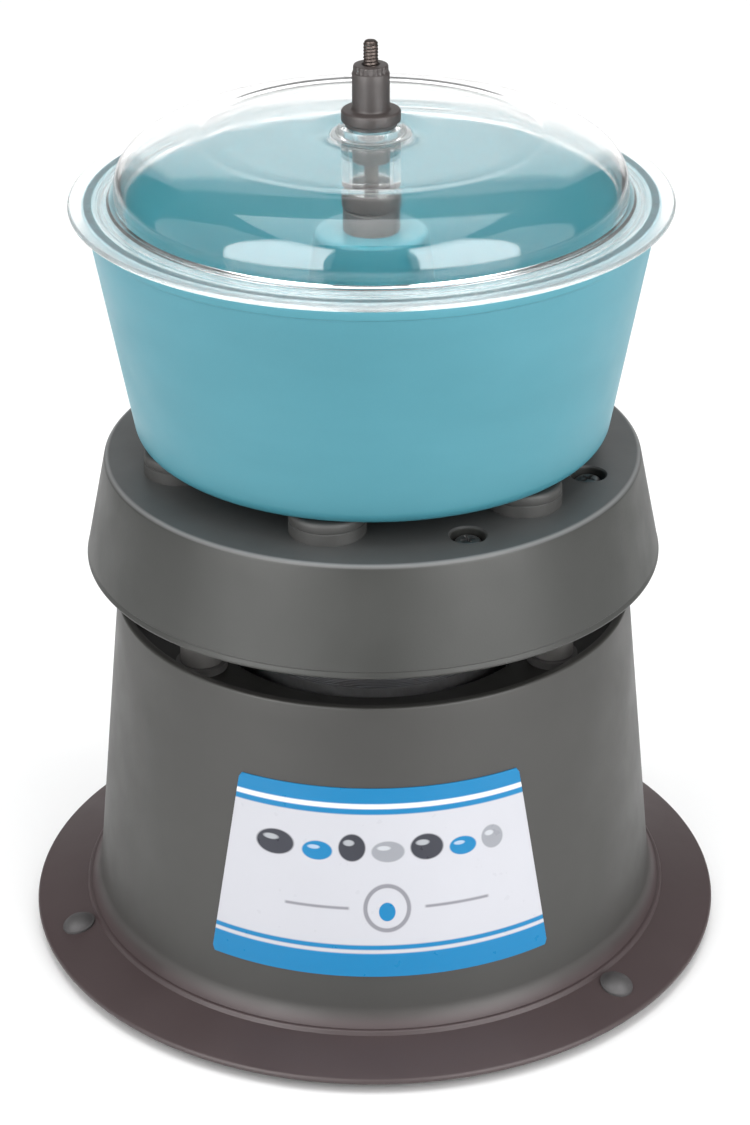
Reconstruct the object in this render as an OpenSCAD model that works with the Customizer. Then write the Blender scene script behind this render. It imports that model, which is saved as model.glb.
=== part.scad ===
// Vibratory rock tumbler: a flared base, a sprung drive plate with its motor
// and eccentric weight below, and a ring-shaped bowl with a clear lid held on
// a centre stud. Millimetres, +Z up, origin on the table under the stud,
// and the front of the machine faces -Y. Clock angles run from the front
// towards +X.

/* [Base] */
// Height of the base rim above the table
base_h = 124; // [108:1:160]
// How far the flared foot stands out from the cone
flange_w = 23; // [20:0.5:40]
// How much wider the cone is at its foot than at its rim, each side
base_flare = 10.4; // [4:0.2:20]
// Wall thickness of the base
base_wall = 2.6; // [2:0.1:4]
// Depth of the spring shelf below the rim
shelf_drop = 12.6; // [8:0.2:18]
// Height of the rubber feet under the flange
foot_drop = 3; // [2:0.5:6]
// Radius of the foot pads and of their heads
foot_r = 5.4; // [4:0.1:6]
// Clock angle of the first foot
foot_clock = 48.4; // [0:0.2:119]

/* [Drive plate] */
// Height of the skirted plate
plate_h = 36; // [30:1:50]
// Gap between the base rim and the plate's skirt
plate_gap = 15.4; // [10:0.2:25]
// How much wider the skirt is at its lower edge, each side
skirt_flare = 7; // [3:0.2:12]
// How far the skirt's lower edge overhangs the base rim
skirt_overhang = 9.5; // [5:0.1:14]
// Wall thickness of the plate
plate_wall = 3; // [2.4:0.1:4]
// Ledge of the plate around the bowl's foot
plate_margin = 11.6; // [8:0.2:20]
// Radius of the rubber pads under the bowl
pad_r = 12.3; // [8:0.1:14]
// Height of the rubber pads
pad_h = 7.5; // [5:0.5:12]

/* [Bowl] */
// Diameter of the bowl at its foot
bowl_foot_d = 155; // [150:1:200]
// How much wider the bowl is at its rim, each side
bowl_flare = 14; // [8:0.5:22]
// Height of the bowl
bowl_h = 78.5; // [62:0.5:110]
// Wall thickness of the bowl
bowl_wall = 3; // [2.5:0.1:4]
// Radius of the centre post at its top
hub_top_r = 18; // [14:0.1:20]
// Radius of the centre post at the bowl's floor
hub_foot_r = 26; // [22:0.5:32]
// Depth of the post's top below the rim
hub_drop = 8; // [5:0.5:14]

/* [Lid] */
// Thickness of the clear lid
lid_wall = 2.4; // [1.8:0.1:3]
// Height of the dome above its foot
dome_h = 20; // [14:0.5:30]
// How far the lid's flange overhangs the bowl
lid_overhang = 5; // [3:0.2:8]
// Width of the flat flange outside the dome
lid_flange_w = 12.3; // [8:0.1:16]
// Radius of the flat disc in the crown
lid_disc_r = 55; // [45:0.5:70]
// Outer radius of the tube round the stud
lid_tube_r = 9.4; // [9:0.1:11]

/* [Stud and nuts] */
// Diameter of the centre stud
stud_d = 4.8; // [4:0.1:5.8]
// Length of stud left above the lid nut
stud_proud = 7.7; // [4:0.1:20]
// Radius of the lid nut's flange, and of the bowl nut
nut_flange_r = 9.45; // [9:0.05:9.5]
// Radius of the lid nut's body and of its spigot
nut_body_r = 5.95; // [5:0.05:6.2]
// Height of the lid nut above the lid
nut_h = 18.5; // [14:0.5:28]
// Length of the lid nut's spigot, which reaches down into the lid's tube
spigot_h = 14.5; // [8:0.5:16]
// Height of the bowl nut
bowl_nut_h = 5; // [4:0.5:8]
// Height of the bushing on the bowl's post
bushing_h = 6.7; // [4:0.1:10]

/* [Springs] */
// Outer radius of a spring's sleeve
sleeve_r = 7; // [6.2:0.1:7.4]
// Wire diameter of the springs
wire_d = 1.6; // [1:0.1:1.8]
// Active turns of each spring
spring_turns = 7; // [4:1:9]

/* [Motor] */
// Outer radius of the stator
motor_r = 47; // [44:0.5:56]
// Height of the stator stack
stator_h = 28; // [18:1:32]
// Height of each end bell
bell_h = 15; // [13:0.5:18]
// Radius of the eccentric weight
weight_r = 30; // [20:1:40]
// Height of the eccentric weight
weight_h = 14; // [8:1:18]
// Clock angle of the motor rails
rail_clock = 47.4; // [0:0.2:90]

/* [Label] */
// Lower edge of the label above the table
label_z = 29; // [26:1:40]
// Height of the label
label_h = 67.4; // [40:0.2:70]
// Half width of the label at its lower edge
label_half_w = 55.4; // [40:0.2:60]

/* [Hidden] */
$fn = 96;

// Clearances
run_clear = 0.05;
slip_clear = 0.1;
seat_clear = 0.3;

// Radii, from the bowl outwards and down
bowl_foot_r = bowl_foot_d / 2;
bowl_rim_r = bowl_foot_r + bowl_flare;
plate_r = bowl_foot_r + plate_margin;
skirt_r = plate_r + skirt_flare;
rim_r = skirt_r - skirt_overhang;
flange_r = rim_r + base_flare + flange_w;

// Heights, from the table up
flare_h = 14.6;
flare_z = foot_drop + flare_h;
shelf_z = base_h - shelf_drop;
shelf_t = 3;
bowl_floor_t = 3.5;
skirt_z = base_h + plate_gap;
plate_z = skirt_z + plate_h;
under_z = plate_z - plate_wall;
bowl_z = plate_z + pad_h;
floor_z = bowl_z + bowl_floor_t;
bowl_rim_z = bowl_z + bowl_h;
hub_z = bowl_rim_z - hub_drop;
bowl_nut_z = hub_z + bushing_h;
nut_flange_h = 4;
lid_foot_h = 3.5;
lid_foot_w = 2.2;
dome_z = bowl_rim_z + lid_foot_h;
lid_boss_h = 1.8;
washer_t = 1.3;

// Lid: its shoulder bows from bow_r out to dome_r, as a power curve that is an ellipse at 1
lid_r = bowl_rim_r + lid_overhang;
dome_r = lid_r - lid_flange_w - lid_foot_w;
bow_r = dome_r / 2;
shoulder = 0.69;
disc_a = asin((lid_disc_r - bow_r) / (dome_r - bow_r));
disc_z = dome_z + dome_h * pow(cos(disc_a), shoulder);
crown_z = disc_z + lid_boss_h;
lid_nut_z = crown_z + washer_t;
stud_top_z = lid_nut_z + nut_h + stud_proud;

// Bowl and its post
bowl_slope = bowl_flare / bowl_h;
bowl_tilt = atan(bowl_slope);
hub_slope = (hub_foot_r - hub_top_r) / (hub_z - floor_z);
hub_tilt = atan(hub_slope);
bushing_stem_r = 6;

// Base
cone_slope = base_flare / (base_h - flare_z);
foot_inset = 11.6;
foot_ring_r = flange_r - foot_inset;
foot_stem_r = 3;
flange_t = 2.5;
flange_slope = 0.255;
flange_edge_r = 1.25;
foot_fillet_r = 9;
rim_edge_r = 0.9;
motor_room = 10;
opening_r = motor_r + motor_room;
lip_h = 6.4;
lip_t = 2.5;
gland_z = foot_drop + 30;
boss_out = 2;
boss_in = base_wall + 2.2;
gland_boss_r = 11;
gland_neck_r = 6;
gland_bore_r = 3.5;
gland_flange_r = 8.5;
gland_flange_t = 2;

// Stud and its fasteners
stud_r = stud_d / 2;
stud_foot_z = under_z - 8;
stud_washer_t = 1;
stud_washer_r = 7;
stud_nut_r = 5.5;
stud_nut_h = 3.2;

// Motor rails and their four screws
rail_w = 10;
rail_t = 3;
rail_across = 29.8;
screw_inset = 15.2;
screw_ring_r = plate_r - screw_inset;
rail_along = sqrt(screw_ring_r * screw_ring_r - rail_across * rail_across);
screw_r = 2.4;
screw_head_r = 4.5;
screw_head_h = 3;
counterbore_r = 5.75;
counterbore_h = 4.5;
screw_boss_r = 7;
screw_boss_z = under_z - 3.5;
spacer_r = 4.5;
spacer_h = 14;
rail_z = screw_boss_z - spacer_h - rail_t;
small_nut_r = 4.6;
small_nut_h = 3.2;

// Springs: each stands clear of a rail and its screws, and outside the motor's opening
anchor_head_r = 3.8;
anchor_head_h = 2.6;
anchor_screw_r = 1.8;
spring_inset = 17;
spring_ring_r = max(
    rim_r - base_wall - spring_inset,
    opening_r + lip_t + anchor_head_r + seat_clear
);
spring_off_rail = 12.9;
spring_across = rail_across - spring_off_rail;
spring_clock = rail_clock + asin(spring_across / spring_ring_r);
seat_t = 2.5;
seat_r = sleeve_r + 1.5;
peg_r = 2.9;
peg_h = 8;
sleeve_wall = 1.1;
wire_r = wire_d / 2;
coil_r = sleeve_r - sleeve_wall - seat_clear - wire_r;
cap_r = sleeve_r + 0.4;
cap_t = 3;
cap_boss_r = 5;
cap_boss_h = 4;
cap_pin_r = 1.6;
cap_z = under_z - cap_boss_h - cap_t;
sleeve_z = shelf_z + seat_t;

// Motor, hanging from the rails
bolt_r = 2;
bell_wall = 3;
upper_bell_z = rail_z - bell_h;
stator_z = upper_bell_z - stator_h;
lower_bell_z = stator_z - bell_h;
rotor_r = 20;
air_gap = 0.4;
shaft_r = 4;
bearing_r = 11;
bearing_h = 7;
slot_n = 12;
slot_r = 3.6;
slot_ring_r = 28;
coil_end_h = 9;
upper_bearing_z = rail_z - bell_wall - bearing_h;
lower_bearing_z = lower_bell_z + bell_wall;
shaft_top_z = rail_z - 1.5;
fan_r = 34;
fan_h = 8;
fan_z = lower_bell_z - 4 - fan_h;
fan_blades = 8;
weight_z = fan_z - 6 - weight_h;
weight_hub_r = 9;
shaft_foot_z = weight_z - 4;

// ---------------------------------------------------------------- helpers

function arc(cx, cy, r, a0, a1, n) =
    [for (i = [0:n]) let (a = a0 + (a1 - a0) * i / n) [cx + r * cos(a), cy + r * sin(a)]];

function cone_r(z) = rim_r + (base_h - z) * cone_slope;

module at_clock(angle, radius) {
    rotate([0, 0, angle - 90]) translate([radius, 0, 0]) children();
}

module three(clock, radius) {
    for (i = [0:2]) at_clock(clock + i * 120, radius) children();
}

module tube(outer_r, inner_r, h) {
    difference() {
        cylinder(r = outer_r, h = h);
        translate([0, 0, -1]) cylinder(r = inner_r, h = h + 2);
    }
}

// Four places on the two rails, this far along each
module on_rails(along) {
    rotate([0, 0, rail_clock - 90])
        for (x = [-along, along]) for (y = [-rail_across, rail_across])
            translate([x, y, 0]) children();
}

module hex_nut(r, hole_r, h) {
    difference() {
        cylinder(r = r, h = h, $fn = 6);
        translate([0, 0, -1]) cylinder(r = hole_r, h = h + 2);
    }
}

// ------------------------------------------------------------------- base

function flange_top(r) = foot_drop + 2.5 + (flange_r - 1 - r) * flange_slope;

// Underside of the flange, a little thicker towards the cone
hem_r = flange_r - 2.6;
fold_r = cone_r(foot_drop) - 1;
function flange_under(r) =
    flange_top(r) - flange_t - (hem_r - r) / (hem_r - fold_r);

// Outer line of the base, from the table up to the rim
function base_outer() =
    let (
        tilt = atan(cone_slope),
        cx = cone_r(flare_z) + foot_fillet_r * cos(tilt),
        cz = flare_z + foot_fillet_r * sin(tilt),
        ridge = arc(cx, cz, foot_fillet_r, 233, 180 + tilt, 8),
        ridge_r = ridge[0][0]
    ) concat(
        arc(flange_r - flange_edge_r, foot_drop + flange_edge_r, flange_edge_r, -90, 75, 7),
        [[ridge_r + 1.7, flange_top(ridge_r + 1.7)]],
        arc(ridge_r + 0.5, ridge[0][1] - 0.75, 0.8, 10, 100, 4),
        ridge,
        arc(cone_r(base_h - rim_edge_r) - rim_edge_r, base_h - rim_edge_r, rim_edge_r, 5, 90, 4)
    );

// Inner line of the base, from the rim back down to the table
function base_inner() =
    let (
        inner_rim_r = rim_r - base_wall,
        tuck_z = flare_z - 2
    ) [
        [inner_rim_r, base_h],
        [cone_r(shelf_z) - base_wall, shelf_z],
        [opening_r, shelf_z],
        [opening_r, shelf_z - shelf_t - lip_h],
        [opening_r + lip_t, shelf_z - shelf_t - lip_h],
        [opening_r + lip_t, shelf_z - shelf_t],
        [cone_r(shelf_z - shelf_t) - base_wall, shelf_z - shelf_t],
        [cone_r(tuck_z) - base_wall, tuck_z],
        [fold_r, flange_under(fold_r)],
        [hem_r, flange_under(hem_r)],
        [hem_r, foot_drop]
    ];

module gland_boss_place() {
    translate([0, cone_r(gland_z), gland_z]) rotate([-90, 0, 0]) children();
}

module base_body() {
    rotate_extrude() polygon(concat(base_outer(), base_inner()));
}

module base_shell() {
    color([0.36, 0.355, 0.35]) difference() {
        union() {
            base_body();
            gland_boss_place() translate([0, 0, -boss_in])
                cylinder(r = gland_boss_r, h = boss_in + boss_out);
        }
        gland_boss_place() translate([0, 0, -20]) cylinder(r = gland_neck_r, h = 40);
        three(foot_clock, foot_ring_r) cylinder(r = foot_stem_r, h = 30);
        three(spring_clock, spring_ring_r) translate([0, 0, shelf_z - 10])
            cylinder(r = anchor_screw_r + slip_clear, h = 20);
    }
}

// A push-in foot: head above the flange, stem through it, pad on the table
module rubber_feet() {
    head_z = flange_top(foot_ring_r);
    color([0.2, 0.19, 0.19]) three(foot_clock, foot_ring_r) {
        difference() {
            rotate_extrude() polygon(concat(
                [[0, 0]],
                arc(foot_r - 0.6, 0.8, 0.8, -90, 0, 4),
                [[foot_r + 0.2, head_z + 0.6]],
                arc(0, head_z - 2.9, foot_r + 1, 33, 90, 7)
            ));
            translate([-foot_ring_r, 0, 0]) flange_ring();
        }
        cylinder(r = foot_stem_r, h = head_z + 1.5);
    }
}

// The flange without its holes, which shapes the feet around it
module flange_ring() {
    inner_r = foot_ring_r - 8;
    outer_r = foot_ring_r + 8;
    rotate_extrude() polygon([
        [inner_r, flange_top(inner_r)],
        [inner_r, flange_under(inner_r)],
        [outer_r, flange_under(outer_r)],
        [outer_r, flange_top(outer_r)]
    ]);
}

module cord_grommet() {
    color([0.1, 0.1, 0.1]) gland_boss_place() difference() {
        union() {
            translate([0, 0, -boss_in - gland_flange_t])
                cylinder(r = gland_flange_r, h = gland_flange_t);
            translate([0, 0, -boss_in]) cylinder(r = gland_neck_r, h = boss_in + boss_out);
            translate([0, 0, boss_out]) cylinder(r = gland_flange_r, h = gland_flange_t);
        }
        translate([0, 0, -boss_in - gland_flange_t - 1])
            cylinder(r = gland_bore_r, h = boss_in + boss_out + 2 * gland_flange_t + 2);
    }
}

// A thin printed sheet wrapped round the front of the cone
module front_label() {
    label_t = 0.35;
    glue_t = 0.1;
    margin = 3;
    label_lean = 0.158;
    top_half_w = label_half_w - label_h * label_lean;
    low_z = label_z - margin;
    high_z = label_z + label_h + margin;
    color([0.11, 0.58, 0.83]) rotate([0, 0, 1.2]) intersection() {
        rotate_extrude() polygon([
            [cone_r(low_z) + glue_t, low_z],
            [cone_r(low_z) + glue_t + label_t, low_z],
            [cone_r(high_z) + glue_t + label_t, high_z],
            [cone_r(high_z) + glue_t, high_z]
        ]);
        translate([0, -cone_r(label_z) / 2, 0]) rotate([90, 0, 0])
            linear_extrude(height = cone_r(label_z) / 2 + 5) polygon([
                [-label_half_w, label_z],
                [label_half_w, label_z],
                [top_half_w, label_z + label_h],
                [-top_half_w, label_z + label_h]
            ]);
    }
}

// ---------------------------------------------------------------- springs

module spring_lower_seats() {
    color([0.5, 0.5, 0.5]) three(spring_clock, spring_ring_r) translate([0, 0, shelf_z])
        difference() {
            union() {
                cylinder(r = seat_r, h = seat_t);
                cylinder(r = peg_r, h = seat_t + peg_h);
            }
            translate([0, 0, -1]) cylinder(r = anchor_screw_r, h = seat_t + peg_h - 1);
        }
}

module spring_anchor_screws() {
    color([0.6, 0.6, 0.6]) three(spring_clock, spring_ring_r)
        translate([0, 0, shelf_z - shelf_t]) {
            translate([0, 0, -anchor_head_h]) cylinder(r = anchor_head_r, h = anchor_head_h);
            cylinder(r = anchor_screw_r, h = shelf_t + seat_t + 3);
        }
}

// A wound spring, swept as one closed solid along its turns
module wound_spring(mean_r, wire, h, turns) {
    sides = 6;
    steps = turns * 14;
    rise = h - 2 * wire;
    ring_at = function (i)
        let (
            a = 360 * turns * i / steps,
            // The first and last turns lie nearly flat on their seats
            ease = i / steps - 0.55 * sin(360 * i / steps) / 6.2832,
            z = wire + rise * ease
        ) [for (k = [0:sides - 1])
            let (b = 360 * k / sides, r = mean_r + wire * cos(b))
                [r * cos(a), r * sin(a), z + wire * sin(b)]];
    points = [for (i = [0:steps]) each ring_at(i)];
    walls = [for (i = [0:steps - 1]) for (k = [0:sides - 1])
        let (n = (k + 1) % sides)
            [i * sides + k, (i + 1) * sides + k, (i + 1) * sides + n, i * sides + n]];
    first = [for (k = [0:sides - 1]) k];
    last = [for (k = [sides - 1:-1:0]) steps * sides + k];
    polyhedron(points = points, faces = concat(walls, [first], [last]), convexity = 10);
}

module coil_springs() {
    color([0.7, 0.7, 0.72]) three(spring_clock, spring_ring_r) translate([0, 0, sleeve_z])
        wound_spring(coil_r, wire_r, cap_z - sleeve_z, spring_turns);
}

module spring_sleeves() {
    color([0.55, 0.55, 0.55]) three(spring_clock, spring_ring_r) translate([0, 0, sleeve_z])
        tube(sleeve_r, sleeve_r - sleeve_wall, cap_z - sleeve_z);
}

module spring_upper_caps() {
    color([0.5, 0.5, 0.5]) three(spring_clock, spring_ring_r) difference() {
        union() {
            translate([0, 0, cap_z]) cylinder(r = cap_r, h = cap_t);
            translate([0, 0, cap_z - peg_h]) cylinder(r = peg_r, h = peg_h + 1);
        }
        translate([0, 0, cap_z - 2]) cylinder(r = cap_pin_r, h = cap_t + 3);
    }
}

// ------------------------------------------------------------ drive plate

module plate_body() {
    edge_r = 2;
    lip_r = 0.9;
    slope = skirt_flare / plate_h;
    rotate_extrude() polygon(concat(
        [[0, under_z], [0, plate_z]],
        arc(plate_r - edge_r, plate_z - edge_r, edge_r, 90, 11, 5),
        arc(skirt_r - lip_r, skirt_z + lip_r, lip_r, 11, -90, 5),
        [
            [skirt_r - plate_wall, skirt_z],
            [plate_r + slope * plate_wall - plate_wall - 1, under_z - 1],
            [plate_r + slope * plate_wall - plate_wall - 3, under_z]
        ]
    ));
}

module drive_plate() {
    color([0.29, 0.29, 0.28]) difference() {
        union() {
            plate_body();
            on_rails(rail_along) translate([0, 0, screw_boss_z])
                cylinder(r = screw_boss_r, h = plate_z - screw_boss_z - 1);
            three(spring_clock, spring_ring_r) {
                translate([0, 0, cap_z + cap_t]) cylinder(r = cap_boss_r, h = cap_boss_h + 1);
                translate([0, 0, cap_z - 2]) cylinder(r = cap_pin_r, h = 10);
            }
        }
        on_rails(rail_along) {
            translate([0, 0, plate_z - counterbore_h]) cylinder(r = counterbore_r, h = 20);
            translate([0, 0, skirt_z]) cylinder(r = screw_r, h = plate_h);
        }
        translate([0, 0, skirt_z]) cylinder(r = stud_r, h = plate_h + 10);
        bumper_places() translate([0, 0, skirt_z]) cylinder(r = 3, h = plate_h + 10);
    }
}

// Six pads, each just inside the bowl's foot
module bumper_places() {
    for (i = [0:5]) at_clock(rail_clock + i * 60, bowl_foot_r - pad_r) children();
}

module bumper_pads() {
    round_r = 1.6;
    stem_h = plate_wall + 1.5;
    color([0.3, 0.3, 0.3]) bumper_places() {
        translate([0, 0, plate_z]) rotate_extrude() polygon(concat(
            [[0, 0], [pad_r, 0]],
            arc(pad_r - round_r, pad_h - round_r, round_r, 0, 90, 5),
            [[0, pad_h]]
        ));
        translate([0, 0, plate_z - stem_h]) cylinder(r = 3, h = stem_h + 1);
    }
}

module centre_stud() {
    tip = 1.2;
    color([0.5, 0.47, 0.45]) {
        translate([0, 0, stud_foot_z]) cylinder(r = stud_r, h = stud_top_z - tip - stud_foot_z);
        translate([0, 0, stud_top_z - tip]) cylinder(r1 = stud_r, r2 = stud_r - 0.9, h = tip);
    }
}

module stud_washers() {
    color([0.6, 0.6, 0.6]) for (z = [plate_z, under_z - stud_washer_t])
        translate([0, 0, z]) tube(stud_washer_r, stud_r, stud_washer_t);
}

module stud_nuts() {
    color([0.55, 0.55, 0.55])
        for (z = [plate_z + stud_washer_t, under_z - stud_washer_t - stud_nut_h])
            translate([0, 0, z]) hex_nut(stud_nut_r, stud_r, stud_nut_h);
}

// ------------------------------------------------------------------ motor

module motor_rails() {
    half = rail_along + 7;
    color([0.6, 0.6, 0.6]) difference() {
        rotate([0, 0, rail_clock - 90]) for (y = [-rail_across, rail_across])
            translate([-half, y - rail_w / 2, rail_z]) cube([2 * half, rail_w, rail_t]);
        on_rails(rail_along) translate([0, 0, rail_z - 1]) cylinder(r = screw_r, h = rail_t + 2);
        on_rails(rail_across) translate([0, 0, rail_z - 1]) cylinder(r = bolt_r, h = rail_t + 2);
    }
}

module rail_spacers() {
    color([0.7, 0.7, 0.7]) on_rails(rail_along) translate([0, 0, rail_z + rail_t])
        tube(spacer_r, screw_r, spacer_h);
}

module mount_screws() {
    seat_z = plate_z - counterbore_h;
    tip_z = rail_z - small_nut_h - 1.5;
    color([0.62, 0.6, 0.58]) on_rails(rail_along) difference() {
        union() {
            translate([0, 0, seat_z]) cylinder(r = screw_head_r, h = screw_head_h);
            translate([0, 0, tip_z]) cylinder(r = screw_r, h = seat_z - tip_z + 1);
        }
        // Cross recess
        for (turn = [0, 90]) rotate([0, 0, turn])
            translate([-2.4, -0.5, seat_z + screw_head_h - 1.4]) cube([4.8, 1, 3]);
    }
}

module mount_nuts() {
    color([0.6, 0.6, 0.6]) on_rails(rail_along) translate([0, 0, rail_z - small_nut_h])
        hex_nut(small_nut_r, screw_r, small_nut_h);
}

// An end bell with its closed wall at z = 0 and its mouth at z = bell_h
module end_bell() {
    boss_r = bearing_r + 3;
    difference() {
        rotate_extrude() polygon([
            [shaft_r + 1.5, 0],
            [motor_r - 4, 0],
            [motor_r, 4],
            [motor_r, bell_h],
            [motor_r - bell_wall, bell_h],
            [motor_r - bell_wall, bell_wall + 1.5],
            [motor_r - bell_wall - 2, bell_wall],
            [boss_r, bell_wall],
            [boss_r, bell_wall + bearing_h],
            [bearing_r, bell_wall + bearing_h],
            [bearing_r, bell_wall],
            [shaft_r + 1.5, bell_wall]
        ]);
        // Vent holes between the bolts
        for (i = [0:7]) rotate([0, 0, rail_clock + 22.5 + i * 45]) translate([26, 0, -1])
            cylinder(r = 4, h = bell_wall + 2);
        on_rails(rail_across) translate([0, 0, -1]) cylinder(r = bolt_r, h = bell_h + 2);
    }
}

module lower_end_bell() {
    color([0.65, 0.65, 0.66]) translate([0, 0, lower_bell_z]) end_bell();
}

module upper_end_bell() {
    color([0.65, 0.65, 0.66]) translate([0, 0, rail_z]) mirror([0, 0, 1]) end_bell();
}

module stator_core() {
    color([0.4, 0.41, 0.42]) translate([0, 0, stator_z]) difference() {
        cylinder(r = motor_r, h = stator_h);
        translate([0, 0, -1]) cylinder(r = rotor_r + air_gap, h = stator_h + 2);
        on_rails(rail_across) translate([0, 0, -1]) cylinder(r = bolt_r, h = stator_h + 2);
        slots(slot_r, -1, stator_h + 2);
    }
}

module slots(r, z, h) {
    for (i = [0:slot_n - 1]) rotate([0, 0, i * 360 / slot_n])
        translate([slot_ring_r, 0, z]) cylinder(r = r, h = h);
}

module stator_windings() {
    inner_r = slot_ring_r - slot_r - 1.5;
    outer_r = slot_ring_r + slot_r + 3;
    color([0.72, 0.4, 0.2]) translate([0, 0, stator_z]) {
        for (z = [-coil_end_h + 3, stator_h]) translate([0, 0, z])
            tube(outer_r, inner_r, coil_end_h - 3);
        slots(slot_r, -1, stator_h + 2);
    }
}

// A sealed ball bearing: two races with the seals set back between them
module bearing() {
    rotate_extrude() polygon([
        [shaft_r + run_clear, 0],
        [shaft_r + 2.2, 0],
        [shaft_r + 2.4, 0.6],
        [bearing_r - 2.2, 0.6],
        [bearing_r - 2, 0],
        [bearing_r, 0],
        [bearing_r, bearing_h],
        [bearing_r - 2, bearing_h],
        [bearing_r - 2.2, bearing_h - 0.6],
        [shaft_r + 2.4, bearing_h - 0.6],
        [shaft_r + 2.2, bearing_h],
        [shaft_r + run_clear, bearing_h]
    ]);
}

module upper_bearing() {
    color([0.75, 0.75, 0.78]) translate([0, 0, upper_bearing_z]) bearing();
}

module lower_bearing() {
    color([0.75, 0.75, 0.78]) translate([0, 0, lower_bearing_z]) bearing();
}

module motor_through_bolts() {
    tip_z = lower_bell_z - small_nut_h - 1.5;
    color([0.6, 0.6, 0.6]) on_rails(rail_across) {
        translate([0, 0, rail_z + rail_t]) cylinder(r = 3.8, h = 2.6);
        translate([0, 0, tip_z]) cylinder(r = bolt_r, h = rail_z + rail_t - tip_z + 1);
    }
}

module motor_bolt_nuts() {
    color([0.6, 0.6, 0.6]) on_rails(rail_across) translate([0, 0, lower_bell_z - small_nut_h])
        hex_nut(3.9, bolt_r, small_nut_h);
}

// ------------------------------------------------------------------ rotor

module motor_shaft() {
    tip = 0.8;
    color([0.7, 0.7, 0.72]) {
        translate([0, 0, shaft_foot_z + tip])
            cylinder(r = shaft_r, h = shaft_top_z - shaft_foot_z - 2 * tip);
        translate([0, 0, shaft_foot_z]) cylinder(r1 = shaft_r - tip, r2 = shaft_r, h = tip);
        translate([0, 0, shaft_top_z - tip]) cylinder(r1 = shaft_r, r2 = shaft_r - tip, h = tip);
    }
}

module rotor_core() {
    end_gap = 1;
    color([0.45, 0.45, 0.47]) translate([0, 0, stator_z + end_gap])
        tube(rotor_r, shaft_r, stator_h - 2 * end_gap);
}

module retaining_rings() {
    ring_t = 1.2;
    color([0.5, 0.5, 0.5])
        for (z = [upper_bearing_z - 0.3 - ring_t, lower_bearing_z + bearing_h + 0.3])
            translate([0, 0, z]) tube(shaft_r + 2, shaft_r, ring_t);
}

module cooling_fan() {
    fan_hub_r = 9;
    blade_t = 1.4;
    color([0.2, 0.2, 0.22]) translate([0, 0, fan_z]) difference() {
        union() {
            cylinder(r = fan_hub_r, h = fan_h);
            translate([0, 0, fan_h - 1.6]) cylinder(r = fan_r - 8, h = 1.6);
            for (i = [0:fan_blades - 1]) rotate([0, 0, i * 360 / fan_blades])
                translate([fan_hub_r - 1, -blade_t / 2, 0])
                    cube([fan_r - fan_hub_r + 1, blade_t, fan_h]);
        }
        translate([0, 0, -1]) cylinder(r = shaft_r, h = fan_h + 2);
    }
}

module eccentric_weight() {
    color([0.5, 0.5, 0.5]) translate([0, 0, weight_z]) difference() {
        union() {
            intersection() {
                cylinder(r = weight_r, h = weight_h);
                translate([-weight_r, 0, 0]) cube([2 * weight_r, weight_r, weight_h]);
            }
            cylinder(r = weight_hub_r, h = weight_h);
        }
        translate([0, 0, -1]) cylinder(r = shaft_r, h = weight_h + 2);
        set_screw_hole();
    }
}

module set_screw_hole() {
    translate([0, -shaft_r, weight_h / 2]) rotate([90, 0, 0]) cylinder(r = 2, h = 10);
}

module weight_set_screw() {
    color([0.15, 0.15, 0.15]) translate([0, 0, weight_z]) difference() {
        translate([0, -shaft_r - 0.6, weight_h / 2]) rotate([90, 0, 0]) cylinder(r = 2, h = 4);
        translate([0, -shaft_r - 3, weight_h / 2]) rotate([90, 0, 0])
            cylinder(r = 1, h = 4, $fn = 6);
    }
}

// ------------------------------------------------------------------- bowl

function bowl_outer_r(z) = bowl_foot_r + (z - bowl_z) * bowl_slope;
function bowl_inner_r(z) = bowl_outer_r(z) - bowl_wall / cos(bowl_tilt);

function hub_r(z) = hub_foot_r - (z - floor_z) * hub_slope;

// Arc that rounds a level line into the bowl's wall, inside or outside it
function wall_corner(wall_r, z, r) =
    let (cz = z + r, cx = wall_r - r * cos(bowl_tilt))
        arc(cx, cz, r, -90, -bowl_tilt, 8);

module bowl() {
    foot_round = 6;
    channel_round = 16;
    hub_round = 9;
    hub_edge = 2;
    collar_h = 5;
    collar_t = 0.5;
    hub_wall = 3.2;
    hub_cap_t = 4;
    hub_turn_z = floor_z + hub_round;
    hub_cx = hub_r(hub_turn_z - hub_round * sin(hub_tilt)) + hub_round * cos(hub_tilt);
    edge_z = hub_z - hub_edge;
    color([0.4, 0.6, 0.66]) rotate_extrude() polygon(concat(
        // Underside, foot and outer wall
        [[hub_r(bowl_z) - hub_wall, bowl_z]],
        wall_corner(bowl_outer_r(bowl_z + foot_round * (1 - sin(bowl_tilt))), bowl_z, foot_round),
        [
            [bowl_outer_r(bowl_rim_z - collar_h), bowl_rim_z - collar_h],
            [bowl_outer_r(bowl_rim_z - collar_h) + collar_t, bowl_rim_z - collar_h + 0.4],
            [bowl_rim_r + collar_t, bowl_rim_z - 0.5],
            [bowl_rim_r + collar_t - 0.5, bowl_rim_z],
            [bowl_inner_r(bowl_rim_z), bowl_rim_z]
        ],
        // Inner wall and the rounded channel
        reverse(wall_corner(
            bowl_inner_r(floor_z + channel_round * (1 - sin(bowl_tilt))), floor_z, channel_round
        )),
        arc(hub_cx, hub_turn_z, hub_round, 270, 180 + hub_tilt, 6),
        // Centre post
        arc(hub_r(edge_z) - hub_edge, edge_z, hub_edge, hub_tilt, 90, 5),
        [
            [bushing_stem_r, hub_z],
            [bushing_stem_r, hub_z - hub_cap_t],
            [hub_r(hub_z) - hub_wall, hub_z - hub_cap_t]
        ]
    ));
}

function reverse(list) = [for (i = [len(list) - 1:-1:0]) list[i]];

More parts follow.
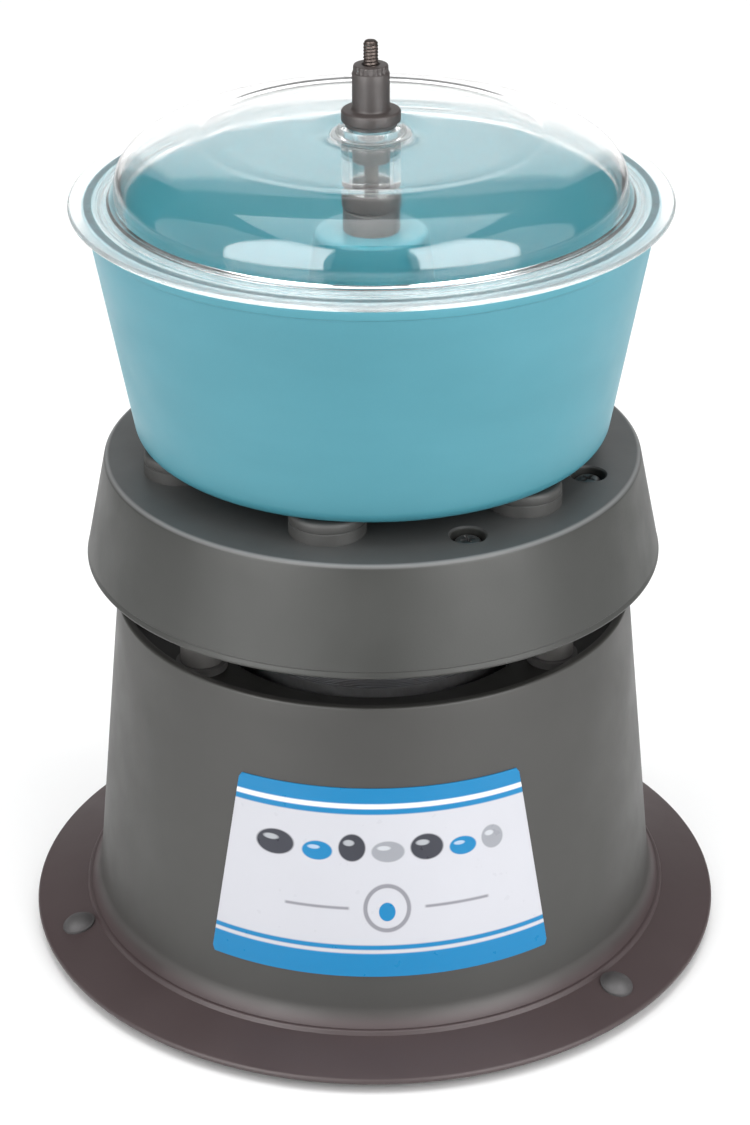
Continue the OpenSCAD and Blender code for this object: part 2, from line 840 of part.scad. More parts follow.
// Sits in the post's top and guides the bowl down the stud
module bowl_bushing() {
    bushing_r = 9.05;
    stem_h = 5.2;
    edge = 0.8;
    color([0.16, 0.16, 0.16]) translate([0, 0, hub_z]) rotate_extrude() polygon([
        [stud_r + slip_clear, -stem_h],
        [bushing_stem_r, -stem_h],
        [bushing_stem_r, 0],
        [bushing_r, 0],
        [bushing_r, bushing_h - edge],
        [bushing_r - edge, bushing_h],
        [stud_r + slip_clear, bushing_h]
    ]);
}

// ------------------------------------------------------- nuts and washer

// A round nut that clamps the bowl's bushing
module bowl_nut() {
    edge = 0.8;
    bore_r = stud_r + run_clear;
    color([0.4, 0.35, 0.33]) translate([0, 0, bowl_nut_z]) rotate_extrude() polygon(concat(
        [[bore_r, 0]],
        arc(nut_flange_r - edge, edge, edge, -90, 0, 3),
        arc(nut_flange_r - edge, bowl_nut_h - edge, edge, 0, 90, 3),
        [[bore_r, bowl_nut_h]]
    ));
}

// Flange on the lid, round body above it with a smaller collar, and a spigot below
module lid_nut() {
    edge = 0.8;
    neck_round = 0.7;
    collar_h = 2.3;
    collar_r = nut_body_r - 0.4;
    collar_edge = 0.6;
    bore_r = stud_r + run_clear;
    color([0.4, 0.35, 0.33]) translate([0, 0, lid_nut_z]) rotate_extrude() polygon(concat(
        [
            [bore_r, -spigot_h],
            [nut_body_r - collar_edge, -spigot_h],
            [nut_body_r, collar_edge - spigot_h],
            [nut_body_r, 0]
        ],
        arc(nut_flange_r - edge, edge, edge, -90, 0, 3),
        arc(nut_flange_r - edge, nut_flange_h - edge, edge, 0, 90, 3),
        arc(nut_body_r + neck_round, nut_flange_h + neck_round, neck_round, 270, 180, 3),
        [
            [nut_body_r, nut_h - collar_h - 0.4],
            [collar_r, nut_h - collar_h],
            [collar_r, nut_h - collar_edge],
            [collar_r - collar_edge, nut_h],
            [bore_r, nut_h]
        ]
    ));
}

module lid_washer() {
    washer_r = 8.2;
    color([0.3, 0.3, 0.3]) translate([0, 0, crown_z])
        tube(washer_r, nut_body_r + slip_clear, washer_t);
}

// -------------------------------------------------------------------- lid

// Point on the dome's shoulder, this far in from its outer face
function shoulder_at(a, depth) =
    let (
        out = dome_r - bow_r,
        rise = dome_h * shoulder * pow(cos(a), shoulder - 1) * sin(a),
        run = out * cos(a),
        size = norm([rise, run])
    ) [
        bow_r + out * sin(a) - depth * rise / size,
        dome_z + dome_h * pow(cos(a), shoulder) - depth * run / size
    ];

module lid() {
    edge = 0.95;
    flange_top_z = bowl_rim_z + 2 * edge;
    foot_edge = 0.5;
    lip_depth = 2.8;
    lip_wall = 2.2;
    lip_r = bowl_inner_r(bowl_rim_z - lip_depth) - seat_clear;
    boss_foot_r = nut_flange_r + 3.3;
    boss_slope_w = 2.2;
    tube_fillet = 4;
    tube_bore_r = nut_body_r + 1.1;
    tube_foot_z = bowl_nut_z + bowl_nut_h + seat_clear;
    disc_under_z = disc_z - lid_wall;
    steps = 12;
    last_a = 89.5;
    turns = [for (i = [0:steps]) disc_a + (last_a - disc_a) * i / steps];
    color([0.85, 0.88, 0.9, 0.35]) rotate_extrude() polygon(concat(
        [
            [tube_bore_r, crown_z],
            [boss_foot_r - boss_slope_w, crown_z],
            [boss_foot_r, disc_z]
        ],
        [for (a = turns) shoulder_at(a, 0)],
        [
            [dome_r + 0.1, dome_z - 0.6],
            [dome_r + lid_foot_w - foot_edge, dome_z - 2 * foot_edge],
            [dome_r + lid_foot_w, flange_top_z]
        ],
        arc(lid_r - edge, bowl_rim_z + edge, edge, 90, -90, 8),
        [
            [lip_r, bowl_rim_z],
            [lip_r, bowl_rim_z - lip_depth],
            [lip_r - lip_wall, bowl_rim_z - lip_depth],
            [lip_r - lip_wall, bowl_rim_z],
            [dome_r - lid_wall, bowl_rim_z]
        ],
        [for (a = reverse(turns)) shoulder_at(a, lid_wall)],
        arc(lid_tube_r + tube_fillet, disc_under_z - tube_fillet, tube_fillet, 90, 180, 5),
        [
            [lid_tube_r, tube_foot_z],
            [tube_bore_r, tube_foot_z]
        ]
    ));
}

base_shell();
rubber_feet();
cord_grommet();
front_label();
spring_lower_seats();
spring_anchor_screws();
coil_springs();
spring_sleeves();
drive_plate();
spring_upper_caps();
bumper_pads();
centre_stud();
stud_washers();
stud_nuts();
motor_rails();
rail_spacers();
mount_screws();
mount_nuts();
upper_end_bell();
lower_end_bell();
stator_core();
stator_windings();
upper_bearing();
lower_bearing();
motor_through_bolts();
motor_bolt_nuts();
motor_shaft();
rotor_core();
retaining_rings();
cooling_fan();
eccentric_weight();
weight_set_screw();
bowl();
bowl_bushing();
bowl_nut();
lid();
lid_washer();
lid_nut();
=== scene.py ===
"""Looks for the vibratory rock tumbler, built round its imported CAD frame."""

import math

import bmesh
import bpy
from mathutils import Matrix, Vector


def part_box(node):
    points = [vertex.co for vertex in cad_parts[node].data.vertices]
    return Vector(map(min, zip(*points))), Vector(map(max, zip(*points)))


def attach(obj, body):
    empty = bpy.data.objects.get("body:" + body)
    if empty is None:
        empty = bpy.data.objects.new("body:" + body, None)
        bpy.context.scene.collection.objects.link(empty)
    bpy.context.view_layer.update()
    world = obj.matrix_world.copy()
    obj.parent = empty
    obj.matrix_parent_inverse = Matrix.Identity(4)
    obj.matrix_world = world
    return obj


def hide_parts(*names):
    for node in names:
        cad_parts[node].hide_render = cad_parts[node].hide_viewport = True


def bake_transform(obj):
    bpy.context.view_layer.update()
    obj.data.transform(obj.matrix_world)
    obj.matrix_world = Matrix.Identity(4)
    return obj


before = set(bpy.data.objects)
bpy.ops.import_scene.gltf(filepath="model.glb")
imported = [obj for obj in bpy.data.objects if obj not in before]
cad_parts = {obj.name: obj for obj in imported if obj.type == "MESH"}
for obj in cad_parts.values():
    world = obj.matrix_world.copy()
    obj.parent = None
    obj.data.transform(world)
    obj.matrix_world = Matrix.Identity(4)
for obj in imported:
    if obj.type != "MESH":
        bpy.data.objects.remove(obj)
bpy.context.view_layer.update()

MM = 0.001
TURN = 2 * math.pi


def low(node):
    """Lowest corner of a CAD node, in millimetres."""
    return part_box(node)[0] / MM


def high(node):
    """Highest corner of a CAD node, in millimetres."""
    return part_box(node)[1] / MM


# Heights and radii from the frame, in millimetres
FOOT_DROP = low("base_shell").z
RIM_Z = high("base_shell").z
FLANGE_R = high("base_shell").x
SKIRT_Z = low("drive_plate").z
PLATE_Z = high("drive_plate").z
SKIRT_R = high("drive_plate").x
BOWL_Z = low("bowl").z
BOWL_RIM_Z = high("bowl").z
BOWL_NUT_Z = low("bowl_nut").z
BOWL_NUT_TOP_Z = high("bowl_nut").z
LID_NUT_Z = high("lid_washer").z
SPIGOT_Z = low("lid_nut").z
NUT_H = high("lid_nut").z - LID_NUT_Z
LID_R = high("lid").x
CROWN_Z = high("lid").z
STUD_LOW_Z = low("centre_stud").z
STUD_TOP_Z = high("centre_stud").z
STUD_R = high("centre_stud").x
SLEEVE_LOW_Z = low("spring_sleeves").z
SLEEVE_TOP_Z = high("spring_sleeves").z
LABEL_Z = low("front_label").z
LABEL_TOP_Z = high("front_label").z

# Sizes that the boxes don't give, as in the CAD model, in millimetres
RIM_R = 86.6
BASE_WALL = 2.6
BASE_FLARE = 10.4
FLARE_Z = FOOT_DROP + 14.6
SHELF_Z = RIM_Z - 12.6
SHELF_T = 3
OPENING_R = 57
PLATE_R = 89.1
PLATE_WALL = 3
BOWL_FOOT_R = 77.5
BOWL_RIM_R = 91.5
BOWL_WALL = 3
FLOOR_Z = BOWL_Z + 3.5
HUB_Z = BOWL_RIM_Z - 8
HUB_TOP_R = 18
HUB_FOOT_R = 26
BUSHING_STEM_R = 6
RAIL_CLOCK = 47.4
RAIL_ACROSS = 29.8
SCREW_RING_R = 73.9
SPRING_RING_R = 67
SPRING_CLOCK = 62.01
FOOT_RING_R = FLANGE_R - 11.6
FOOT_CLOCK = 48.4
PAD_R = 12.3
SLEEVE_R = 7
GLAND_Z = FOOT_DROP + 30


# ---------------------------------------------------------------- camera

LENS = 93.35
CAMERA_DISTANCE = 0.9884
CAMERA_ELEVATION = math.radians(27.08)
CAMERA_ROLL = math.radians(-0.27)
AIM = Vector((0.0006, 0, 0.1312))

camera = bpy.data.objects.new("camera", bpy.data.cameras.new("camera"))
bpy.context.scene.collection.objects.link(camera)
camera.data.lens = LENS
camera.data.sensor_width = 36
back = Vector((0, -math.cos(CAMERA_ELEVATION), math.sin(CAMERA_ELEVATION)))
camera.location = AIM + back * CAMERA_DISTANCE
facing = (-back).to_track_quat("-Z", "Y").to_matrix()
camera.rotation_euler = (facing @ Matrix.Rotation(CAMERA_ROLL, 3, "Z")).to_euler()
bpy.context.scene.camera = camera


# ------------------------------------------------------------- mesh tools

SHARP = 32


def arc(cx, cz, r, a0, a1, n):
    """Points of an arc, angles in degrees."""
    steps = [math.radians(a0 + (a1 - a0) * i / n) for i in range(n + 1)]
    return [(cx + r * math.cos(a), cz + r * math.sin(a)) for a in steps]


def split_long(profile, longest):
    """Adds points so that no straight run of a closed profile is longer than this."""
    points = []
    for p, q in zip(profile, profile[1:] + profile[:1]):
        parts = max(1, math.ceil(math.dist(p, q) / longest))
        points += [(p[0] + (q[0] - p[0]) * k / parts, p[1] + (q[1] - p[1]) * k / parts)
                   for k in range(parts)]
    return points


def clock_place(clock, radius, z=0.0):
    """Matrix that puts a piece at a clock angle, with its +X pointing outwards."""
    turn = Matrix.Rotation(math.radians(clock - 90), 4, "Z")
    return turn @ Matrix.Translation((radius, 0, z))


def spin(bm, profile, segments, shape=None, place=None):
    """Turns a profile of (r, z) in millimetres about Z into a closed skin.

    A profile that starts and ends on the axis is closed there; any other is a ring.
    shape(r, z, angle) may move a point, and place is a matrix in millimetres."""
    on_axis = profile[0][0] < 1e-6 and profile[-1][0] < 1e-6
    place = place or Matrix.Identity(4)
    rings = []
    for r, z in profile:
        count = 1 if r < 1e-6 else segments
        ring = []
        for k in range(count):
            a = TURN * k / segments
            rr, zz = shape(r, z, a) if shape and r > 1e-6 else (r, z)
            at = place @ Vector((rr * math.cos(a), rr * math.sin(a), zz))
            ring.append(bm.verts.new(at * MM))
        rings.append(ring)
    last = len(rings) - 1 if on_axis else len(rings)
    for i in range(last):
        lower, upper = rings[i], rings[(i + 1) % len(rings)]
        for k in range(segments):
            n = (k + 1) % segments
            corners = [lower[k % len(lower)], lower[n % len(lower)],
                       upper[n % len(upper)], upper[k % len(upper)]]
            face = list(dict.fromkeys(corners))
            if len(face) > 2:
                bm.faces.new(face)


def finish_mesh(name, bm, sharp=SHARP):
    """Makes an object of a bmesh, smooth but for edges sharper than this many degrees."""
    bmesh.ops.recalc_face_normals(bm, faces=bm.faces)
    mesh = bpy.data.meshes.new(name)
    bm.to_mesh(mesh)
    bm.free()
    mesh.shade_smooth()
    mesh.set_sharp_from_angle(angle=math.radians(sharp))
    piece = bpy.data.objects.new(name, mesh)
    bpy.context.scene.collection.objects.link(piece)
    return piece


def lathe(name, profile, segments, shape=None, places=None, sharp=SHARP):
    """One object from a turned profile, once or at each of several places."""
    bm = bmesh.new()
    for place in places or [None]:
        spin(bm, profile, segments, shape, place)
    return finish_mesh(name, bm, sharp)


def combine(piece, tool, operation):
    """Cuts a tool out of a piece or joins it on, and drops the tool."""
    change = piece.modifiers.new("combine", "BOOLEAN")
    change.operation = operation
    change.solver = "EXACT"
    change.object = tool
    bpy.context.view_layer.update()
    graph = bpy.context.evaluated_depsgraph_get()
    mesh = bpy.data.meshes.new_from_object(piece.evaluated_get(graph))
    piece.modifiers.clear()
    piece.data = mesh
    mesh.shade_smooth()
    mesh.set_sharp_from_angle(angle=math.radians(SHARP))
    bpy.data.objects.remove(tool)


def sweep(bm, path, radius, sides=12):
    """A round wire along a path of points in millimetres, closed at both ends."""
    rings = []
    for i, p in enumerate(path):
        ahead = (path[min(i + 1, len(path) - 1)] - path[max(i - 1, 0)]).normalized()
        side = Vector((-p.y, p.x, 0)).normalized()
        across = Vector((p.x, p.y, 0)).normalized()
        if abs(ahead.dot(side)) > 0.5:
            u, v = across, ahead.cross(across).normalized()
        else:
            u, v = across, side
        rings.append([bm.verts.new((p + (u * math.cos(TURN * k / sides)
                                         + v * math.sin(TURN * k / sides)) * radius) * MM)
                      for k in range(sides)])
    for lower, upper in zip(rings, rings[1:]):
        for k in range(sides):
            n = (k + 1) % sides
            bm.faces.new((lower[k], lower[n], upper[n], upper[k]))
    bm.faces.new(rings[0])
    bm.faces.new(rings[-1])


# -------------------------------------------------------------- materials

class Paint:
    """A Principled material and short calls for building its node tree."""

    def __init__(self, name, colour, roughness, metallic=0.0, **fixed):
        self.mat = bpy.data.materials.new(name)
        self.mat.use_nodes = True
        self.tree = self.mat.node_tree
        self.shader = self.tree.nodes["Principled BSDF"]
        self.set("Base Color", (*colour, 1))
        self.set("Roughness", roughness)
        self.set("Metallic", metallic)
        for socket, value in fixed.items():
            self.set(socket.replace("_", " "), value)
        self.colour = (*colour, 1)
        self.roughness = roughness
        self.place = self.node("ShaderNodeTexCoord").outputs["Object"]

    def set(self, socket, value):
        self.shader.inputs[socket].default_value = value

    def node(self, kind, **settings):
        made = self.tree.nodes.new(kind)
        for key, value in settings.items():
            setattr(made, key, value)
        return made

    def link(self, out, into):
        self.tree.links.new(out, into)

    def math(self, operation, a, b=None):
        made = self.node("ShaderNodeMath", operation=operation)
        for socket, value in zip(made.inputs, (a, b)):
            if isinstance(value, (int, float)):
                socket.default_value = value
            elif value is not None:
                self.link(value, socket)
        return made.outputs[0]

    def remap(self, value, from_low, from_high, to_low, to_high, smooth=False):
        made = self.node("ShaderNodeMapRange")
        if smooth:
            made.interpolation_type = "SMOOTHSTEP"
        self.link(value, made.inputs["Value"])
        for socket, number in zip(("From Min", "From Max", "To Min", "To Max"),
                                  (from_low, from_high, to_low, to_high)):
            made.inputs[socket].default_value = number
        return made.outputs["Result"]

    def stretch(self, scale):
        made = self.node("ShaderNodeMapping")
        made.inputs["Scale"].default_value = scale
        self.link(self.place, made.inputs["Vector"])
        return made.outputs["Vector"]

    def noise(self, scale, detail=3.0, at=None):
        made = self.node("ShaderNodeTexNoise")
        made.inputs["Scale"].default_value = scale
        made.inputs["Detail"].default_value = detail
        self.link(at or self.place, made.inputs["Vector"])
        return made.outputs["Fac"]

    def mix(self, factor, a, b, blend="MIX"):
        made = self.node("ShaderNodeMix", data_type="RGBA", blend_type=blend)
        for socket, value in ((made.inputs[0], factor), (made.inputs[6], a), (made.inputs[7], b)):
            if isinstance(value, (int, float, tuple)):
                socket.default_value = value
            else:
                self.link(value, socket)
        return made.outputs[2]

    def axis(self, name, at=None):
        made = self.node("ShaderNodeSeparateXYZ")
        self.link(at or self.place, made.inputs[0])
        return made.outputs[name]

    def radius(self):
        """Distance from the stud's axis."""
        x, y = self.axis("X"), self.axis("Y")
        total = self.math("ADD", self.math("MULTIPLY", x, x), self.math("MULTIPLY", y, y))
        return self.math("SQRT", total)

    def mottle(self, scale, amount, colour=None):
        """The colour, a little lighter and darker in soft patches."""
        shade = self.remap(self.noise(scale, 4), 0.3, 0.7, 1 - amount, 1 + amount)
        grey = self.node("ShaderNodeCombineColor")
        for k in range(3):
            self.link(shade, grey.inputs[k])
        return self.mix(1.0, colour or self.colour, grey.outputs[0], "MULTIPLY")

    def use_colour(self, colour):
        self.link(colour, self.shader.inputs["Base Color"])

    def vary_roughness(self, scale, amount):
        low_end, high_end = self.roughness - amount, self.roughness + amount
        value = self.remap(self.noise(scale, 3), 0.3, 0.7, max(low_end, 0.02), high_end)
        self.link(value, self.shader.inputs["Roughness"])

    def relief(self, height, depth, base=None):
        """Bump of this depth in millimetres, on top of another bump if given."""
        made = self.node("ShaderNodeBump")
        made.inputs["Strength"].default_value = 1
        made.inputs["Distance"].default_value = depth * MM
        self.link(height, made.inputs["Height"])
        if base is not None:
            self.link(base, made.inputs["Normal"])
        self.link(made.outputs[0], self.shader.inputs["Normal"])
        return made.outputs[0]


def moulded(name, colour, roughness, patch, grain, depth):
    """Moulded plastic: soft patches in the colour, a fine even grain in the skin."""
    paint = Paint(name, colour, roughness)
    paint.use_colour(paint.mottle(26, patch))
    paint.vary_roughness(60, 0.05)
    waves = paint.relief(paint.noise(45, 2), 0.12)
    paint.relief(paint.noise(grain, 2), depth, waves)
    return paint


def rubber(name, colour, roughness):
    """Matt rubber with bloom and a dusty, pitted skin."""
    paint = Paint(name, colour, roughness)
    bloom = paint.remap(paint.noise(90, 5), 0.45, 0.75, 0, 0.35)
    pale = tuple(min(1, c * 1.9 + 0.02) for c in colour)
    paint.use_colour(paint.mix(bloom, paint.mottle(50, 0.08), (*pale, 1)))
    paint.vary_roughness(140, 0.08)
    paint.relief(paint.noise(1100, 3), 0.03)
    return paint


def metal(name, colour, roughness, along=(1, 1, 1), depth=0.008, stain=0.12):
    """Worked metal: fine scratches along one way and faint stains."""
    paint = Paint(name, colour, roughness, metallic=1.0)
    paint.use_colour(paint.mottle(70, stain))
    scratches = paint.noise(700, 2, paint.stretch(along))
    value = paint.remap(scratches, 0.3, 0.7, roughness - 0.08, roughness + 0.12)
    paint.link(value, paint.shader.inputs["Roughness"])
    paint.relief(scratches, depth)
    return paint


def base_paint():
    """Dark moulded plastic, with a painted redder, lighter tint on the flared foot where light
    falls.
    """
    paint = Paint("base_plastic", (0.042, 0.041, 0.038), 0.45, Specular_IOR_Level=0.4)
    # Painted light: the flared foot is tinted redder and lighter than the rest of the same
    # plastic.
    foot_painted_tint = paint.remap(paint.radius(), 0.0965, 0.1, 0, 1, smooth=True)
    colour = paint.mix(foot_painted_tint, paint.colour, (0.058, 0.041, 0.042, 1))
    paint.use_colour(paint.mottle(22, 0.06, colour))
    paint.vary_roughness(50, 0.05)
    waves = paint.relief(paint.noise(38, 2), 0.15)
    paint.relief(paint.noise(1300, 2), 0.018, waves)
    return paint


def plate_paint():
    """The base's plastic, its level top painted paler as painted light, with a painted highlight
    along the top edge.
    """
    paint = Paint("plate_plastic", (0.033, 0.034, 0.031), 0.44, Specular_IOR_Level=0.4)
    top = paint.remap(paint.axis("Z"), (PLATE_Z - 1.2) * MM, (PLATE_Z - 0.2) * MM, 0, 1)
    # Painted light: the level top is painted paler in soft patches, as if more light fell on it.
    top_painted_light = paint.math("MULTIPLY", top, paint.remap(paint.noise(55, 4), 0.3, 0.7, 0.8, 1))
    colour = paint.mix(top_painted_light, paint.colour, (0.085, 0.086, 0.085, 1))
    # Painted highlight: a pale ring along the plate's rounded top edge.
    edge = paint.remap(paint.radius(), (PLATE_R - 1.8) * MM, (PLATE_R - 0.8) * MM, 0, 0.7)
    colour = paint.mix(paint.math("MULTIPLY", top, edge), colour, (0.3, 0.3, 0.3, 1))
    paint.use_colour(paint.mottle(26, 0.05, colour))
    paint.vary_roughness(60, 0.05)
    waves = paint.relief(paint.noise(45, 2), 0.12)
    paint.relief(paint.noise(1300, 2), 0.02, waves)
    return paint


def bowl_paint():
    """Satin teal with faint swirls of the moulding, with painted shade near the foot and on the
    post's top.
    """
    paint = Paint("bowl_plastic", (0.055, 0.24, 0.3), 0.4, Specular_IOR_Level=0.4)
    swirl = paint.noise(16, 3, paint.stretch((1, 1, 3)))
    fleck = paint.remap(paint.noise(2600, 1), 0.62, 0.72, 0, 0.12)
    shade = paint.remap(swirl, 0.3, 0.7, 0, 1)
    tint = paint.mix(shade, (0.052, 0.23, 0.285, 1), (0.06, 0.25, 0.31, 1))
    slope = (BOWL_RIM_R - BOWL_FOOT_R) / (BOWL_RIM_Z - BOWL_Z)
    lean = paint.math("MULTIPLY", paint.axis("Z"), slope)
    from_wall = paint.math("SUBTRACT", paint.radius(), lean)
    skin = (BOWL_FOOT_R - BOWL_Z * slope) * MM
    inside = paint.remap(from_wall, skin - 1 * MM, skin - 2 * MM, 0, 1, smooth=True)
    tint = paint.mix(inside, tint, (0.043, 0.25, 0.3, 1))
    # Painted shade: darker towards the foot, where the bowl sits over the plate.
    foot_painted_shade = paint.remap(paint.axis("Z"), (BOWL_Z + 9) * MM, BOWL_Z * MM, 0, 0.5,
                            smooth=True)
    tint = paint.mix(foot_painted_shade, tint, (0.03, 0.17, 0.22, 1))
    # Painted shade: the top of the centre post is darker, to offset the light falling on it.
    post_painted_shade = paint.remap(paint.radius(), 0.024, 0.019, 0, 0.8, smooth=True)
    tint = paint.mix(post_painted_shade, tint, (0.025, 0.17, 0.21, 1))
    paint.use_colour(paint.mix(fleck, tint, (0.1, 0.32, 0.38, 1)))
    paint.vary_roughness(40, 0.05)
    waves = paint.relief(paint.noise(34, 2), 0.12)
    paint.relief(paint.noise(1700, 2), 0.012, waves)
    return paint


def clear_paint():
    """Clear plastic with a faint haze and painted white rings of sheen, which lets lamps through.
    """
    paint = Paint("clear_plastic", (0.966, 0.968, 0.966), 0.03, IOR=1.49,
                  Transmission_Weight=1.0)
    far = paint.radius()
    milky = (0.9, 0.93, 0.93, 1)
    tube_edge = (0.0102, 0.0097)

    def ring(start, stop, amount):
        """A mask, up to this amount, between these two distances from the stud."""
        return paint.remap(far, start, stop, 0, amount, smooth=True)

    rough = paint.remap(paint.noise(60, 4), 0.35, 0.75, 0.02, 0.09)
    frosted = paint.math("ADD", rough, ring(0.0128, 0.012, 0.14))
    frosted = paint.math("SUBTRACT", frosted, ring(*tube_edge, 0.12))
    frosted = paint.math("ADD", frosted, ring(0.0825, 0.0845, 0.16))
    paint.link(frosted, paint.shader.inputs["Roughness"])
    paint.relief(paint.noise(28, 2), 0.05)
    haze = paint.node("ShaderNodeBsdfDiffuse")
    haze.inputs["Color"].default_value = milky
    haze_and_painted_sheen = paint.remap(paint.noise(40, 4), 0.3, 0.7, 0.002, 0.008)
    # Painted reflection: a white ring on the dome's shoulder; painted highlight: a white ring
    # round the boss.
    haze_and_painted_sheen = paint.math("ADD", haze_and_painted_sheen, ring(0.0815, 0.084, 0.07))
    haze_and_painted_sheen = paint.math("ADD", haze_and_painted_sheen, ring(0.0135, 0.012, 0.16))
    haze_and_painted_sheen = paint.math("SUBTRACT", haze_and_painted_sheen, ring(*tube_edge, 0.12))
    body = paint.node("ShaderNodeMixShader")
    paint.link(haze_and_painted_sheen, body.inputs[0])
    paint.link(paint.shader.outputs[0], body.inputs[1])
    paint.link(haze.outputs[0], body.inputs[2])
    through = paint.node("ShaderNodeBsdfTransparent")
    through.inputs["Color"].default_value = milky
    path = paint.node("ShaderNodeLightPath")
    final = paint.node("ShaderNodeMixShader")
    paint.link(path.outputs["Is Shadow Ray"], final.inputs[0])
    paint.link(body.outputs[0], final.inputs[1])
    paint.link(through.outputs[0], final.inputs[2])
    out = paint.tree.nodes["Material Output"]
    paint.link(final.outputs[0], out.inputs["Surface"])
    return paint


def laminated_paint():
    """Stacked steel sheets, with a fine line between each pair."""
    paint = Paint("laminated_steel", (0.2, 0.2, 0.21), 0.5, metallic=0.8)
    phase = paint.math("MULTIPLY", paint.axis("Z"), TURN / (0.6 * MM))
    edge = paint.math("SINE", phase)
    dark = paint.remap(edge, 0.5, 1, 0, 0.6)
    rust = paint.remap(paint.noise(120, 5), 0.55, 0.75, 0, 0.3)
    colour = paint.mix(dark, paint.mottle(40, 0.1), (0.05, 0.05, 0.055, 1))
    paint.use_colour(paint.mix(rust, colour, (0.16, 0.09, 0.05, 1)))
    paint.vary_roughness(80, 0.08)
    paint.relief(edge, 0.05)
    return paint


def winding_paint():
    """Lacquered copper wire laid round the coil."""
    paint = Paint("copper_winding", (0.5, 0.17, 0.06), 0.3, metallic=1.0)
    strands = paint.math("SINE", paint.math("MULTIPLY", paint.radius(), TURN / (0.7 * MM)))
    gaps = paint.remap(strands, -1, -0.3, 0.8, 0)
    paint.use_colour(paint.mix(gaps, paint.mottle(60, 0.12), (0.1, 0.03, 0.012, 1)))
    paint.vary_roughness(90, 0.08)
    paint.relief(strands, 0.12)
    return paint


PAINTS = {
    "base_shell": base_paint(),
    "plate": plate_paint(),
    "bowl": bowl_paint(),
    "clear": clear_paint(),
    "bushing": moulded("bushing_plastic", (0.055, 0.052, 0.052), 0.42, 0.06, 1600, 0.01),
    "knob": moulded("nut_plastic", (0.053, 0.044, 0.042), 0.45, 0.08, 1500, 0.02),
    "stud": metal("stud_steel", (0.11, 0.09, 0.082), 0.5, (1, 1, 4)),
    "screw": metal("screw_steel", (0.36, 0.36, 0.36), 0.36, (3, 1, 1)),
    "zinc": metal("zinc_steel", (0.6, 0.6, 0.6), 0.32, (1, 1, 3)),
    "spring": metal("spring_steel", (0.42, 0.42, 0.44), 0.3, (1, 1, 2)),
    "black_rubber": rubber("black_rubber", (0.05, 0.047, 0.048), 0.6),
    "pad": rubber("pad_rubber", (0.042, 0.042, 0.04), 0.6),
    "sleeve": rubber("sleeve_rubber", (0.3, 0.29, 0.28), 0.5),
    "seat": moulded("seat_plastic", (0.16, 0.155, 0.15), 0.5, 0.06, 1500, 0.02),
    "alloy": metal("cast_aluminium", (0.52, 0.52, 0.53), 0.5, (1, 1, 1), 0.04),
    "steel_sheet": laminated_paint(),
    "copper": winding_paint(),
    "fan": moulded("fan_plastic", (0.035, 0.035, 0.04), 0.5, 0.05, 1400, 0.02),
    "weight": metal("weight_steel", (0.3, 0.29, 0.28), 0.5, (2, 1, 1), 0.03, 0.2),
}


def dress(piece, paint):
    """Gives a piece one material all over."""
    mat = PAINTS[paint].mat if isinstance(paint, str) else paint.mat
    if not piece.material_slots:
        piece.data.materials.append(mat)
    for entry in piece.material_slots:
        entry.material = mat


def mount(piece, body, slot, paint, *nodes):
    """Rides a piece on its body, in its material, in place of CAD nodes; slot is not used."""
    dress(piece, paint)
    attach(piece, body)
    if nodes:
        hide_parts(*nodes)


# ------------------------------------------------------------------- base

FLANGE_SLOPE = 0.255
FLANGE_T = 2.5
FLANGE_EDGE_R = 1.25
FOOT_FILLET_R = 9
CONE_SLOPE = BASE_FLARE / (RIM_Z - FLARE_Z)
GLAND_R = 6
GLAND_IN = BASE_WALL + 2.2
GLAND_OUT = 2


def cone_r(z):
    return RIM_R + (RIM_Z - z) * CONE_SLOPE


def flange_top(r):
    return FOOT_DROP + FLANGE_T + (FLANGE_R - 1 - r) * FLANGE_SLOPE


def base_profile():
    """The base's wall: flange, fillet, cone, rim, shelf and the inside back down."""
    tilt = math.degrees(math.atan(CONE_SLOPE))
    cx = cone_r(FLARE_Z) + FOOT_FILLET_R * math.cos(math.radians(tilt))
    cz = FLARE_Z + FOOT_FILLET_R * math.sin(math.radians(tilt))
    fillet = arc(cx, cz, FOOT_FILLET_R, 233, 180 + tilt, 14)
    ridge_r, ridge_z = fillet[0]
    edge_r = 0.9
    hem_r = FLANGE_R - 2.6
    fold_r = cone_r(FOOT_DROP) - 1
    lip_z = SHELF_Z - SHELF_T - 6.4
    under = SHELF_Z - SHELF_T
    return (
        arc(FLANGE_R - FLANGE_EDGE_R, FOOT_DROP + FLANGE_EDGE_R, FLANGE_EDGE_R, -90, 75, 12)
        + [(ridge_r + 1.7, flange_top(ridge_r + 1.7))]
        + arc(ridge_r + 0.5, ridge_z - 0.75, 0.8, 10, 100, 6)
        + fillet
        + arc(cone_r(RIM_Z - edge_r) - edge_r, RIM_Z - edge_r, edge_r, 5, 90, 6)
        + arc(RIM_R - BASE_WALL + 0.5, RIM_Z - 0.5, 0.5, 90, 180, 4)
        + arc(cone_r(SHELF_Z) - BASE_WALL - 1.5, SHELF_Z + 1.5, 1.5, 0, -90, 5)
        + arc(OPENING_R + 0.6, SHELF_Z - 0.6, 0.6, 90, 180, 4)
        + [(OPENING_R, lip_z), (OPENING_R + 2.5, lip_z), (OPENING_R + 2.5, under),
           (cone_r(under) - BASE_WALL, under),
           (cone_r(FLARE_Z - 2) - BASE_WALL, FLARE_Z - 2),
           (fold_r, flange_top(fold_r) - FLANGE_T - 1),
           (hem_r, flange_top(hem_r) - FLANGE_T),
           (hem_r, FOOT_DROP)]
    )


def gland_place():
    """Matrix that puts a turned piece through the back wall, its axis level."""
    turn = Matrix.Rotation(-math.pi / 2, 4, "X")
    return Matrix.Translation((0, cone_r(GLAND_Z), GLAND_Z)) @ turn


